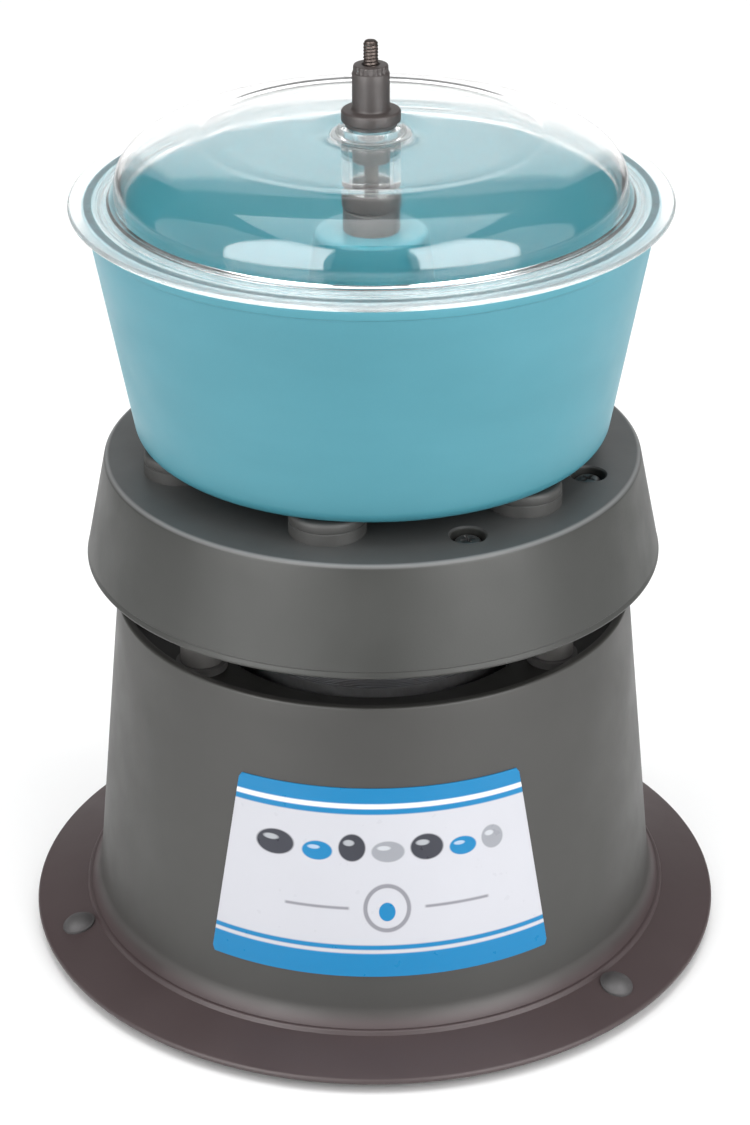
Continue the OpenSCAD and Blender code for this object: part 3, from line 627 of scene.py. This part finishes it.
def make_base_shell():
    shell = lathe("base_moulding", split_long(base_profile(), 7), 216)
    boss_r, round_r, reach = 11, 1, 20
    boss = lathe("boss", [(0, -GLAND_IN), (boss_r, -GLAND_IN)]
                 + arc(boss_r - round_r, GLAND_OUT - round_r, round_r, 0, 90, 4)
                 + [(0, GLAND_OUT)], 48, places=[gland_place()])
    combine(shell, boss, "UNION")
    bore = lathe("bore", [(0, -reach), (GLAND_R, -reach), (GLAND_R, reach), (0, reach)], 48,
                 places=[gland_place()])
    combine(shell, bore, "DIFFERENCE")
    mount(shell, "base", "base_plastic", "base_shell", "base_shell")


def make_feet():
    """Push-in feet: a domed head above the sloping flange, a pad on the table."""
    top_z = flange_top(FOOT_RING_R)
    under_z = top_z - FLANGE_T - 0.35
    pad_r, stem_r, head_r = 5.4, 3, 5.5
    profile = (
        [(0, 0)] + arc(pad_r - 0.8, 0.8, 0.8, -90, 0, 4)
        + [(pad_r + 0.1, under_z - 0.4), (pad_r - 0.2, under_z), (stem_r, under_z),
           (stem_r, top_z), (head_r, top_z)]
        + arc(head_r - 0.5, top_z + 0.6, 0.5, 0, 25, 2)
        + arc(0, top_z - 2.75, 6.2, 33, 90, 10)[1:-1] + [(0, top_z + 3.45)]
    )

    def follow_slope(r, z, angle):
        share = max(0.0, min(1.0, (z - 1) / 3)) * max(0.0, min(1.0, (top_z + 3.4 - z) / 3))
        return r, z - FLANGE_SLOPE * r * math.cos(angle) * share

    places = [clock_place(FOOT_CLOCK + 120 * i, FOOT_RING_R) for i in range(3)]
    feet = lathe("feet", profile, 40, follow_slope, places)
    mount(feet, "base", "black_rubber", "black_rubber", "rubber_feet")


def make_grommet():
    """A rubber ring in the cord's hole, with a flange on each side of the wall."""
    bore_r, flange_r = 3.5, 8.5
    inner, outer = -GLAND_IN, GLAND_OUT
    profile = (
        [(bore_r, inner - 1.6)] + arc(bore_r + 0.4, inner - 1.6, 0.4, 180, 270, 3)
        + arc(flange_r - 0.7, inner - 1.3, 0.7, -90, 0, 4) + [(flange_r, inner), (GLAND_R, inner)]
        + [(GLAND_R, outer), (flange_r, outer)] + arc(flange_r - 0.9, outer + 1.1, 0.9, 0, 90, 5)
        + arc(bore_r + 0.5, outer + 1.5, 0.5, 90, 180, 3)
    )
    grommet = lathe("cord_grommet_rubber", profile, 64, places=[gland_place()])
    mount(grommet, "base", "black_rubber", "black_rubber", "cord_grommet")


# ------------------------------------------------------------------ label

LABEL_T = 0.35
LABEL_LIFT = 0.02
LABEL_CORNER = 0.8
LABEL_BLUE = (0.0, 0.19, 0.42, 1)
LABEL_DARK = (0.035, 0.037, 0.05, 1)
LABEL_GREY = (0.3, 0.31, 0.34, 1)
LABEL_RULE = (0.25, 0.25, 0.28, 1)
LABEL_LEAN = 0.158
LABEL_HALF_W = 55.4
LABEL_CLOCK = 1.2
LABEL_COLUMNS = 96
LABEL_ROWS = 40


def label_paint():
    """Blue bands and a white line round a pale field with a row of pebbles."""
    paint = Paint("label_print", (0.54, 0.545, 0.585), 0.36, Specular_IOR_Level=0.3)
    at = paint.node("ShaderNodeTexCoord").outputs["UV"]
    across, up = paint.axis("X", at), paint.axis("Y", at)
    soft = 0.004

    def band(lower, upper, value=up, edge=soft):
        rise = paint.remap(value, lower - edge, lower + edge, 0, 1)
        fall = paint.remap(value, upper - edge, upper + edge, 1, 0)
        return paint.math("MULTIPLY", rise, fall)

    def both(a, b):
        return paint.math("MULTIPLY", a, b)

    def either(a, b):
        return paint.math("MAXIMUM", a, b)

    def oval(cx, cy, half_w, half_h, edge=0.12):
        """1 inside an oval, in the label's own width and height."""
        dx = paint.math("DIVIDE", paint.math("SUBTRACT", across, cx), half_w)
        dy = paint.math("DIVIDE", paint.math("SUBTRACT", up, cy), half_h)
        reach = paint.math("ADD", both(dx, dx), both(dy, dy))
        return paint.remap(reach, 1 - edge, 1 + edge, 1, 0)

    blue = either(band(-1, 0.125), band(0.865, 2))
    blue = either(blue, band(0.145, 0.17))
    colour = paint.mix(blue, paint.mottle(9, 0.02), LABEL_BLUE)
    colour = paint.mix(band(0.895, 0.92), colour, (0.8, 0.82, 0.86, 1))

    pebbles = (
        (0.15, 0.68, 0.062, 0.066, LABEL_DARK),
        (0.29, 0.665, 0.05, 0.05, LABEL_BLUE),
        (0.405, 0.69, 0.045, 0.072, LABEL_DARK),
        (0.525, 0.67, 0.055, 0.055, LABEL_GREY),
        (0.655, 0.685, 0.055, 0.068, LABEL_DARK),
        (0.775, 0.665, 0.045, 0.048, LABEL_BLUE),
        (0.875, 0.68, 0.036, 0.062, LABEL_GREY),
    )
    for cx, cy, half_w, half_h, ink in pebbles:
        colour = paint.mix(oval(cx, cy, half_w, half_h), colour, ink)
        shine = oval(cx - half_w * 0.25, cy + half_h * 0.35, half_w * 0.4, half_h * 0.22, 0.4)
        colour = paint.mix(paint.math("MULTIPLY", shine, 0.5), colour, (0.75, 0.78, 0.82, 1))
    # A ring with a drop in it, and two plain rules under the pebbles
    ring = paint.math("SUBTRACT", oval(0.52, 0.37, 0.075, 0.13, 0.06),
                      oval(0.52, 0.37, 0.062, 0.108, 0.06))
    colour = paint.mix(paint.math("MAXIMUM", ring, 0), colour, LABEL_RULE)
    colour = paint.mix(oval(0.52, 0.35, 0.026, 0.05, 0.1), colour, LABEL_BLUE)
    rules = either(both(band(0.36, 0.375), band(0.2, 0.4, across)),
                   both(band(0.36, 0.375), band(0.64, 0.84, across)))
    colour = paint.mix(rules, colour, LABEL_RULE)
    paint.use_colour(colour)
    rough = paint.remap(paint.noise(220, 3), 0.3, 0.7, 0.27, 0.4)
    paint.link(rough, paint.shader.inputs["Roughness"])
    paint.relief(paint.noise(500, 2), 0.008)
    return paint


def make_label():
    """A thin printed sheet round the front of the cone, its corners a little cut."""
    bm = bmesh.new()
    uv = bm.loops.layers.uv.new("UVMap")
    skins = []
    for lift in (LABEL_LIFT, LABEL_T):
        skin = []
        for j in range(LABEL_ROWS + 1):
            z = LABEL_Z + (LABEL_TOP_Z - LABEL_Z) * j / LABEL_ROWS
            r = cone_r(z) + lift
            half = LABEL_HALF_W - (z - LABEL_Z) * LABEL_LEAN
            corner = min(z - LABEL_Z, LABEL_TOP_Z - z)
            half -= LABEL_CORNER * max(0.0, 1 - corner / LABEL_CORNER)
            row = []
            for i in range(LABEL_COLUMNS + 1):
                x = half * (2 * i / LABEL_COLUMNS - 1)
                spot = Vector((x, -math.sqrt(r * r - x * x), z))
                spot.rotate(Matrix.Rotation(math.radians(LABEL_CLOCK), 3, "Z"))
                row.append((bm.verts.new(spot * MM), (i / LABEL_COLUMNS, j / LABEL_ROWS)))
            skin.append(row)
        skins.append(skin)

    def face(corners):
        made = bm.faces.new([c[0] for c in corners])
        for loop, (_, spot) in zip(made.loops, corners):
            loop[uv].uv = spot

    inner, outer = skins
    for j in range(LABEL_ROWS):
        for i in range(LABEL_COLUMNS):
            face([outer[j][i], outer[j][i + 1], outer[j + 1][i + 1], outer[j + 1][i]])
            face([inner[j][i], inner[j + 1][i], inner[j + 1][i + 1], inner[j][i + 1]])
        for i in (0, LABEL_COLUMNS):
            face([inner[j][i], outer[j][i], outer[j + 1][i], inner[j + 1][i]])
    for i in range(LABEL_COLUMNS):
        for j in (0, LABEL_ROWS):
            face([inner[j][i], outer[j][i], outer[j][i + 1], inner[j][i + 1]])
    label = finish_mesh("label_sheet", bm)
    mount(label, "base", "label_sheet", label_paint(), "front_label")


# ---------------------------------------------------------------- springs

def spring_places():
    return [clock_place(SPRING_CLOCK + 120 * i, SPRING_RING_R) for i in range(3)]


def make_springs():
    """Wound springs in smooth sleeves, between the base and the drive plate."""
    wall, h = 1.1, SLEEVE_TOP_Z - SLEEVE_LOW_Z
    profile = (
        arc(SLEEVE_R - 0.35, SLEEVE_LOW_Z + 0.35, 0.35, -90, 0, 3)
        + arc(SLEEVE_R - 0.35, SLEEVE_TOP_Z - 0.35, 0.35, 0, 90, 3)
        + [(SLEEVE_R - wall, SLEEVE_TOP_Z), (SLEEVE_R - wall, SLEEVE_LOW_Z)]
    )
    sleeves = lathe("sleeve_tubes", split_long(profile, 5), 56, places=spring_places())
    mount_across(sleeves, "sleeve", "spring_sleeves")

    wire_r, turns, steps = 0.8, 7, 36
    coil_r = SLEEVE_R - wall - 0.3 - wire_r
    bm = bmesh.new()
    for i in range(3):
        middle = clock_place(SPRING_CLOCK + 120 * i, SPRING_RING_R)
        start = len(bm.verts)
        path = []
        for k in range(turns * steps + 1):
            share = k / (turns * steps)
            a = TURN * turns * share
            ease = share - 0.55 * math.sin(TURN * share) / TURN
            z = SLEEVE_LOW_Z + wire_r + (h - 2 * wire_r) * ease
            path.append(Vector((coil_r * math.cos(a), coil_r * math.sin(a), z)))
        sweep(bm, path, wire_r)
        bm.verts.ensure_lookup_table()
        shift = middle.copy()
        shift.translation *= MM
        for v in bm.verts[start:]:
            v.co = shift @ v.co
    coils = finish_mesh("spring_coils", bm)
    mount_across(coils, "spring", "coil_springs")


def mount_across(piece, paint, node):
    """A piece between the base and the drive plate, baked in place on no body."""
    dress(piece, paint)
    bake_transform(piece)
    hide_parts(node)


# ------------------------------------------------------------ drive plate

UNDER_Z = PLATE_Z - PLATE_WALL
RAIL_ALONG = math.sqrt(SCREW_RING_R ** 2 - RAIL_ACROSS ** 2)
SCREW_SEAT_Z = PLATE_Z - 4.5
SCREW_R = 2.4


def rail_places(along):
    """The four places on the two motor rails that lie this far along them."""
    turn = Matrix.Rotation(math.radians(RAIL_CLOCK - 90), 4, "Z")
    return [turn @ Matrix.Translation((x, y, 0))
            for x in (-along, along) for y in (-RAIL_ACROSS, RAIL_ACROSS)]


def make_drive_plate():
    """The skirted plate, with bosses and counterbores for screws and pegs for springs."""
    slope = (SKIRT_R - PLATE_R) / (PLATE_Z - SKIRT_Z)
    edge_r, lip_r, line_z = 2, 0.9, SKIRT_Z + 2.6
    line_r = SKIRT_R - (line_z - SKIRT_Z) * slope
    corner_r = PLATE_R + slope * PLATE_WALL - PLATE_WALL
    profile = (
        [(0, UNDER_Z), (0, PLATE_Z)]
        + arc(PLATE_R - edge_r, PLATE_Z - edge_r, edge_r, 90, 11, 8)
        + [(line_r, line_z), (line_r - 0.22, line_z - 0.25), (line_r - 0.18, line_z - 0.6)]
        + arc(SKIRT_R - lip_r - 0.1, SKIRT_Z + lip_r, lip_r, 11, -90, 6)
        + [(SKIRT_R - PLATE_WALL, SKIRT_Z), (corner_r - 1, UNDER_Z - 1), (corner_r - 3, UNDER_Z)]
    )
    ring = [(6, UNDER_Z), (6, PLATE_Z)] + profile[2:]
    plate = lathe("drive_plate_moulding", split_long(ring, 7), 216)
    eye_r = 6.5
    eye = lathe("eye", [(STUD_R, UNDER_Z), (STUD_R, PLATE_Z), (eye_r, PLATE_Z),
                        (eye_r, UNDER_Z)], 64)
    combine(plate, eye, "UNION")

    boss_z, boss_r = UNDER_Z - 3.5, 7
    bosses = lathe("bosses", [(0, boss_z), (boss_r, boss_z), (boss_r, PLATE_Z - 1),
                              (0, PLATE_Z - 1)], 40, places=rail_places(RAIL_ALONG))
    combine(plate, bosses, "UNION")
    peg_r, collar_r = 1.6, 5
    pegs = lathe("pegs", [(0, UNDER_Z - 9), (peg_r, UNDER_Z - 9), (peg_r, UNDER_Z - 4),
                          (collar_r, UNDER_Z - 4), (collar_r, UNDER_Z + 1), (0, UNDER_Z + 1)],
                 40, places=spring_places())
    combine(plate, pegs, "UNION")
    sink_r, mouth = 5.75, 0.5
    hole = [(0, SKIRT_Z), (SCREW_R, SKIRT_Z), (SCREW_R, SCREW_SEAT_Z), (sink_r, SCREW_SEAT_Z),
            (sink_r, PLATE_Z - mouth), (sink_r + mouth, PLATE_Z),
            (sink_r + mouth, PLATE_Z + 5), (0, PLATE_Z + 5)]
    holes = lathe("holes", hole, 48, places=rail_places(RAIL_ALONG))
    combine(plate, holes, "DIFFERENCE")
    mount(plate, "drive", "plate_plastic", "plate", "drive_plate")


def make_pads():
    """Round rubber pads with a shallow groove round the side, on stems."""
    h, round_r = BOWL_Z - PLATE_Z, 1.4
    profile = (
        [(0, -4.5), (3, -4.5), (3, 0), (PAD_R, 0)]
        + [(PAD_R, h * 0.5), (PAD_R - 0.3, h * 0.5 + 0.25), (PAD_R - 0.15, h * 0.5 + 0.6)]
        + arc(PAD_R - 0.15 - round_r, h - round_r, round_r, 0, 90, 7) + [(0, h)]
    )
    places = [clock_place(RAIL_CLOCK + 60 * i, BOWL_FOOT_R - PAD_R, PLATE_Z) for i in range(6)]
    pads = lathe("pads", profile, 72, places=places)
    mount(pads, "drive", "pad_rubber", "pad", "bumper_pads")


def make_mount_screws():
    """Pan heads with a cross recess, sunk in the plate.

    The recess is cut one bar at a time, because bars that cross spoil the cut."""
    head_r, head_h, bar = 4.5, 3, (5 * MM, 1 * MM, 2.8 * MM, 1)
    tip_z = low("mount_screws").z
    profile = (
        [(0, tip_z), (SCREW_R - 0.5, tip_z), (SCREW_R, tip_z + 0.6), (SCREW_R, SCREW_SEAT_Z),
         (head_r, SCREW_SEAT_Z)]
        + arc(head_r - 2, SCREW_SEAT_Z + 1, 2, 0, 90, 6) + [(0, SCREW_SEAT_Z + head_h)]
    )
    screws = lathe("screws", profile, 40, places=rail_places(RAIL_ALONG))
    for turn in (0, 90):
        bm = bmesh.new()
        for k, place in enumerate(rail_places(RAIL_ALONG)):
            twist = Matrix.Rotation(math.radians(turn + 31 * k), 4, "Z")
            at = place @ twist @ Matrix.Translation((0, 0, SCREW_SEAT_Z + head_h))
            at.translation *= MM
            bmesh.ops.create_cube(bm, size=1, matrix=at @ Matrix.Diagonal(bar))
        combine(screws, finish_mesh("cross", bm), "DIFFERENCE")
    mount(screws, "drive", "screw_steel", "screw", "mount_screws")


def make_stud():
    """A threaded rod, its thread cut right up to a slightly domed tip."""
    pitch, depth, segments, rows = 1.058, 0.32, 24, 8
    tip, plain_z = 0.9, PLATE_Z + 8

    def thread(r, z, angle):
        if r < STUD_R - 1e-6 or z < plain_z:
            return r, z
        phase = (z / pitch - angle / TURN) % 1
        cut = depth * abs(2 * phase - 1)
        near_end = max(0.0, min(1.0, (z - plain_z) / pitch))
        taper = max(0.0, (z - (STUD_TOP_Z - tip)) / tip)
        return r - cut * near_end * (1 - taper) - 0.8 * taper, z

    count = round((STUD_TOP_Z - plain_z) / pitch * rows)
    rings = [(STUD_R, plain_z + (STUD_TOP_Z - plain_z) * k / count) for k in range(count)]
    profile = (
        [(0, STUD_LOW_Z), (STUD_R - 0.4, STUD_LOW_Z), (STUD_R, STUD_LOW_Z + 0.4)]
        + [(STUD_R, STUD_LOW_Z + 2), (STUD_R, plain_z - 1)] + rings
        + [(STUD_R - 0.9, STUD_TOP_Z - 0.02), (0, STUD_TOP_Z)]
    )
    stud = lathe("threaded_stud", profile, segments, thread, sharp=40)
    mount(stud, "drive", "stud_steel", "stud", "centre_stud")


# ------------------------------------------------------------------- bowl

BOWL_SLOPE = (BOWL_RIM_R - BOWL_FOOT_R) / (BOWL_RIM_Z - BOWL_Z)
BOWL_TILT = math.atan(BOWL_SLOPE)
HUB_SLOPE = (HUB_FOOT_R - HUB_TOP_R) / (HUB_Z - FLOOR_Z)
HUB_TILT = math.atan(HUB_SLOPE)


def bowl_outer_r(z):
    return BOWL_FOOT_R + (z - BOWL_Z) * BOWL_SLOPE


def bowl_inner_r(z):
    return bowl_outer_r(z) - BOWL_WALL / math.cos(BOWL_TILT)


def hub_r(z):
    return HUB_FOOT_R - (z - FLOOR_Z) * HUB_SLOPE


def wall_corner(line, z, r, n):
    """Rounds a level line at height z into the bowl's wall."""
    touch_z = z + r * (1 - math.sin(BOWL_TILT))
    cx = line(touch_z) - r * math.cos(BOWL_TILT)
    return arc(cx, z + r, r, -90, -math.degrees(BOWL_TILT), n)


def make_bowl():
    collar_z, collar_t, lip_r = BOWL_RIM_Z - 5, 0.5, 0.6
    hub_wall, hub_round, hub_edge = 3.2, 9, 2
    turn_z = FLOOR_Z + hub_round
    hub_cx = hub_r(turn_z - hub_round * math.sin(HUB_TILT)) + hub_round * math.cos(HUB_TILT)
    edge_z = HUB_Z - hub_edge
    tilt = math.degrees(HUB_TILT)
    profile = (
        [(hub_r(BOWL_Z) - hub_wall, BOWL_Z)]
        + wall_corner(bowl_outer_r, BOWL_Z, 6, 12)
        + [(bowl_outer_r(collar_z), collar_z), (bowl_outer_r(collar_z) + collar_t, collar_z + 0.4)]
        + arc(BOWL_RIM_R + collar_t - lip_r, BOWL_RIM_Z - lip_r, lip_r, 0, 90, 4)
        + arc(bowl_inner_r(BOWL_RIM_Z) + 0.5, BOWL_RIM_Z - 0.5, 0.5, 90, 180, 4)
        + wall_corner(bowl_inner_r, FLOOR_Z, 16, 18)[::-1]
        + arc(hub_cx, turn_z, hub_round, 270, 180 + tilt, 12)
        + arc(hub_r(edge_z) - hub_edge, edge_z, hub_edge, tilt, 90, 8)
        + [(BUSHING_STEM_R, HUB_Z), (BUSHING_STEM_R, HUB_Z - 4),
           (hub_r(HUB_Z) - hub_wall, HUB_Z - 4)]
    )
    bowl = lathe("bowl_moulding", split_long(profile, 8), 216)
    mount(bowl, "bowl", "bowl_plastic", "bowl", "bowl")


def make_bushing():
    r, h, bore = 9.05, BOWL_NUT_Z - HUB_Z, STUD_R + 0.1
    profile = (
        [(bore, -5.2), (BUSHING_STEM_R - 0.4, -5.2), (BUSHING_STEM_R, -4.8), (BUSHING_STEM_R, 0)]
        + arc(r - 0.4, 0.4, 0.4, -90, 0, 3) + arc(r - 0.8, h - 0.8, 0.8, 0, 90, 6)
        + [(bore + 0.4, h), (bore, h - 0.4)]
    )
    bushing = lathe("bushing_turning", [(x, z + HUB_Z) for x, z in profile], 96)
    mount(bushing, "bowl", "bushing_plastic", "bushing", "bowl_bushing")


# ------------------------------------------------------------------- nuts

NUT_FLANGE_R = 9.45
NUT_BODY_R = 5.95


def make_bowl_nut():
    """A plain round nut that clamps the bowl."""
    edge, bore = 0.8, STUD_R + 0.05
    profile = (
        [(bore, BOWL_NUT_Z + 0.3), (bore + 0.3, BOWL_NUT_Z)]
        + arc(NUT_FLANGE_R - edge, BOWL_NUT_Z + edge, edge, -90, 0, 6)
        + arc(NUT_FLANGE_R - edge, BOWL_NUT_TOP_Z - edge, edge, 0, 90, 6)
        + [(bore + 0.3, BOWL_NUT_TOP_Z), (bore, BOWL_NUT_TOP_Z - 0.3)]
    )
    nut = lathe("bowl_clamp_nut", split_long(profile, 3), 160)
    mount(nut, "bowl_nut", "nut_plastic", "knob", "bowl_nut")


def make_lid_nut():
    """Flange on the washer, smooth body and notched collar above, spigot below."""
    flange_h, collar_h, edge, notches = 4, 2.3, 0.8, 20
    collar_r, bore = NUT_BODY_R - 0.4, STUD_R + 0.05
    collar_z = NUT_H - collar_h
    foot = SPIGOT_Z - LID_NUT_Z

    def notched(r, z, angle):
        height = z - LID_NUT_Z
        if r > bore + 0.8 and collar_z + 0.1 < height < NUT_H - 0.2:
            return r - 0.16 * (1 - math.cos(angle * notches)), z
        return r, z

    profile = (
        [(bore, foot + 0.3), (bore + 0.3, foot), (NUT_BODY_R - 0.6, foot)]
        + [(NUT_BODY_R, foot + 0.6), (NUT_BODY_R, 0)]
        + arc(NUT_FLANGE_R - edge, edge, edge, -90, 0, 6)
        + arc(NUT_FLANGE_R - edge, flange_h - edge, edge, 0, 90, 6)
        + arc(NUT_BODY_R + 0.7, flange_h + 0.7, 0.7, 270, 180, 5)
        + [(NUT_BODY_R, flange_h + 1.1), (NUT_BODY_R, collar_z - 0.5)]
        + [(NUT_BODY_R - 0.15, collar_z - 0.15), (collar_r, collar_z)]
        + [(collar_r, collar_z + 0.3), (collar_r, NUT_H - 0.7)]
        + arc(collar_r - 0.6, NUT_H - 0.6, 0.6, 10, 90, 4)
        + [(bore + 0.5, NUT_H), (bore, NUT_H - 0.5)]
    )
    nut = lathe("lid_thumb_nut", [(x, z + LID_NUT_Z) for x, z in split_long(profile, 3)],
                160, notched)
    mount(nut, "lid_nut", "nut_plastic", "knob", "lid_nut")


# -------------------------------------------------------------------- lid

def make_lid():
    wall, edge, lip_depth, lip_wall = 2.4, 0.95, 2.8, 2.2
    flange_z = BOWL_RIM_Z + 2 * edge
    lip_r = bowl_inner_r(BOWL_RIM_Z - lip_depth) - 0.3
    dome_r, dome_z, disc_r = LID_R - 14.5, BOWL_RIM_Z + 3.5, 55
    boss_h, boss_r, boss_slope_w = 1.8, NUT_FLANGE_R + 2.3, 1.6
    tube_r, bore_r, fillet = 9.4, NUT_BODY_R + 1.1, 4
    tube_z = BOWL_NUT_TOP_Z + 0.3
    bow_r, shoulder, last = dome_r / 2, 0.69, math.radians(89.5)
    bow_w = dome_r - bow_r
    disc_z = CROWN_Z - boss_h
    first = math.asin((disc_r - bow_r) / bow_w)
    dome_h = (disc_z - dome_z) / math.cos(first) ** shoulder
    angles = [first + (last - first) * k / 26 for k in range(27)]

    def bow(a, depth):
        """Point on the dome's shoulder, this far in from its outer face."""
        rise = dome_h * shoulder * math.cos(a) ** (shoulder - 1) * math.sin(a)
        run = bow_w * math.cos(a)
        size = math.hypot(rise, run)
        return (bow_r + bow_w * math.sin(a) - depth * rise / size,
                dome_z + dome_h * math.cos(a) ** shoulder - depth * run / size)

    profile = (
        [(bore_r, CROWN_Z - 0.3), (bore_r + 0.3, CROWN_Z)]
        + arc(boss_r - boss_slope_w - 0.3, CROWN_Z - 0.6, 0.6, 90, 51, 4)
        + [(boss_r - 0.5, disc_z + 0.35), (boss_r + 0.2, disc_z + 0.06)]
        + [(boss_r + 1.2, disc_z), (disc_r - 0.7, disc_z)] + [bow(a, 0) for a in angles]
        + [(dome_r + 0.1, dome_z - 0.6)] + arc(dome_r + 1.2, dome_z - 1.5, 0.6, 100, 20, 5)
        + [(dome_r + 2.2, flange_z)]
        + arc(LID_R - edge, BOWL_RIM_Z + edge, edge, 90, -90, 12)
        + [(lip_r, BOWL_RIM_Z), (lip_r, BOWL_RIM_Z - lip_depth + 0.4)]
        + arc(lip_r - lip_wall / 2, BOWL_RIM_Z - lip_depth + 0.6, 0.6, -20, -160, 4)
        + [(lip_r - lip_wall, BOWL_RIM_Z - lip_depth + 0.8), (lip_r - lip_wall, BOWL_RIM_Z)]
        + [(dome_r - wall, BOWL_RIM_Z)] + [bow(a, wall) for a in reversed(angles)]
        + arc(tube_r + fillet, disc_z - wall - fillet, fillet, 90, 180, 8)
        + [(tube_r, tube_z + 0.3), (tube_r - 0.3, tube_z), (bore_r + 0.3, tube_z),
           (bore_r, tube_z + 0.3)]
    )
    lid = lathe("lid_moulding", split_long(profile, 9), 216)
    mount(lid, "lid", "clear_plastic", "clear", "lid")


# ------------------------------------------------------- carried-over CAD

CAD_PAINTS = {
    "spring_lower_seats": "seat", "spring_upper_caps": "seat",
    "spring_anchor_screws": "zinc", "stud_washers": "zinc", "stud_nuts": "zinc",
    "motor_rails": "zinc", "rail_spacers": "alloy", "mount_nuts": "zinc",
    "upper_end_bell": "alloy", "lower_end_bell": "alloy", "stator_core": "steel_sheet",
    "stator_windings": "copper", "upper_bearing": "zinc", "lower_bearing": "zinc",
    "motor_through_bolts": "zinc", "motor_bolt_nuts": "zinc", "motor_shaft": "zinc",
    "rotor_core": "steel_sheet", "retaining_rings": "spring", "cooling_fan": "fan",
    "eccentric_weight": "weight", "weight_set_screw": "spring", "lid_washer": "bushing",
}

for node_name, node_paint in CAD_PAINTS.items():
    dress(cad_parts[node_name], node_paint)

make_base_shell()
make_feet()
make_grommet()
make_label()
make_springs()
make_drive_plate()
make_pads()
make_mount_screws()
make_stud()
make_bowl()
make_bushing()
make_bowl_nut()
make_lid_nut()
make_lid()


# ----------------------------------------------------------------- studio

OBJECT_MIDDLE = Vector((0, 0, 0.2))
FLOOR_R = 1.3
SKY_DIM = 0.08
SKY_GLOW = 0.85


def make_floor():
    bm = bmesh.new()
    bmesh.ops.create_circle(bm, cap_ends=True, segments=128, radius=FLOOR_R)
    floor = finish_mesh("floor", bm)
    paint = Paint("pale_floor", (0.95, 0.95, 0.95), 0.8)
    paint.use_colour(paint.mottle(3, 0.01))
    dress(floor, paint)


def place_panel(name, near, far, top, strength, reach):
    """An upright light panel between two floor points (x, y), in metres.

    strength is its radiance, and reach says which rays see it: gloss or diffuse."""
    run = Vector((far[0] - near[0], far[1] - near[1], 0))
    middle = Vector(((near[0] + far[0]) / 2, (near[1] + far[1]) / 2, top / 2))
    place_lamp(name, middle, run.cross(Vector((0, 0, 1))), run.length, top, strength, reach)


def place_lamp(name, middle, normal, width, height, strength, reach):
    """A flat lamp facing the object, sized in metres."""
    data = bpy.data.lights.new(name, "AREA")
    data.shape = "RECTANGLE"
    data.size, data.size_y = width, height
    data.energy = strength * math.pi * width * height
    lamp = bpy.data.objects.new(name, data)
    if normal.dot(OBJECT_MIDDLE - middle) < 0:
        normal = -normal
    lamp.location = middle
    lamp.rotation_euler = normal.to_track_quat("-Z", "Y").to_euler()
    lamp.visible_camera = False
    lamp.visible_diffuse = reach != "gloss"
    lamp.visible_glossy = reach != "diffuse"
    bpy.context.scene.collection.objects.link(lamp)


def around(azimuth, distance):
    """Floor point this way round from the front, in degrees and metres."""
    a = math.radians(azimuth)
    return distance * math.sin(a), -distance * math.cos(a)


def make_sky():
    """White low down behind the object, dim above it and in front."""
    world = bpy.data.worlds.new("studio")
    world.use_nodes = True
    tree = world.node_tree

    def node(kind, **settings):
        made = tree.nodes.new(kind)
        for key, value in settings.items():
            setattr(made, key, value)
        return made

    def fade(value, start, stop, first, last):
        made = node("ShaderNodeMapRange", interpolation_type="SMOOTHSTEP")
        tree.links.new(value, made.inputs["Value"])
        for socket, number in zip(("From Min", "From Max", "To Min", "To Max"),
                                  (start, stop, first, last)):
            made.inputs[socket].default_value = number
        return made.outputs["Result"]

    way = node("ShaderNodeSeparateXYZ")
    tree.links.new(node("ShaderNodeTexCoord").outputs["Generated"], way.inputs[0])
    glow = node("ShaderNodeMath", operation="MULTIPLY")
    tree.links.new(fade(way.outputs["Z"], 0.5, 0.56, 1, 0), glow.inputs[0])
    tree.links.new(fade(way.outputs["Y"], -0.1, 0.2, 0, 1), glow.inputs[1])
    side = node("ShaderNodeMath", operation="ABSOLUTE")
    tree.links.new(way.outputs["X"], side.inputs[0])
    narrow = node("ShaderNodeMath", operation="MULTIPLY")
    tree.links.new(glow.outputs[0], narrow.inputs[0])
    tree.links.new(fade(side.outputs[0], 0.28, 0.42, 1, 0), narrow.inputs[1])
    strength = fade(narrow.outputs[0], 0, 1, SKY_DIM, SKY_GLOW)
    seen = node("ShaderNodeMath", operation="MAXIMUM")
    tree.links.new(strength, seen.inputs[0])
    tree.links.new(node("ShaderNodeLightPath").outputs["Is Camera Ray"], seen.inputs[1])
    tree.nodes["Background"].inputs["Color"].default_value = (1, 1, 1, 1)
    tree.links.new(seen.outputs[0], tree.nodes["Background"].inputs["Strength"])
    bpy.context.scene.world = world


make_floor()
place_panel("left_panel", around(-17, 2.0), around(-105, 1.2), 1.9, 1.7, "diffuse")
place_panel("right_panel", around(17, 2.0), around(96, 1.3), 1.9, 2.3, "diffuse")
place_panel("left_gloss", around(-20, 1.9), around(-64, 1.4), 2.7, 6, "gloss")
place_panel("right_gloss", around(20, 1.9), around(64, 1.4), 2.7, 6, "gloss")
place_lamp("overhead", Vector((0, 0.2, 2.2)), Vector((0, 0, -1)), 1.8, 1.8, 3.5, "diffuse")
place_panel("back_panel", around(150, 1.8), around(-150, 1.8), 1.6, 1.0, "diffuse")
make_sky()
bpy.context.scene.view_settings.view_transform = "Standard"
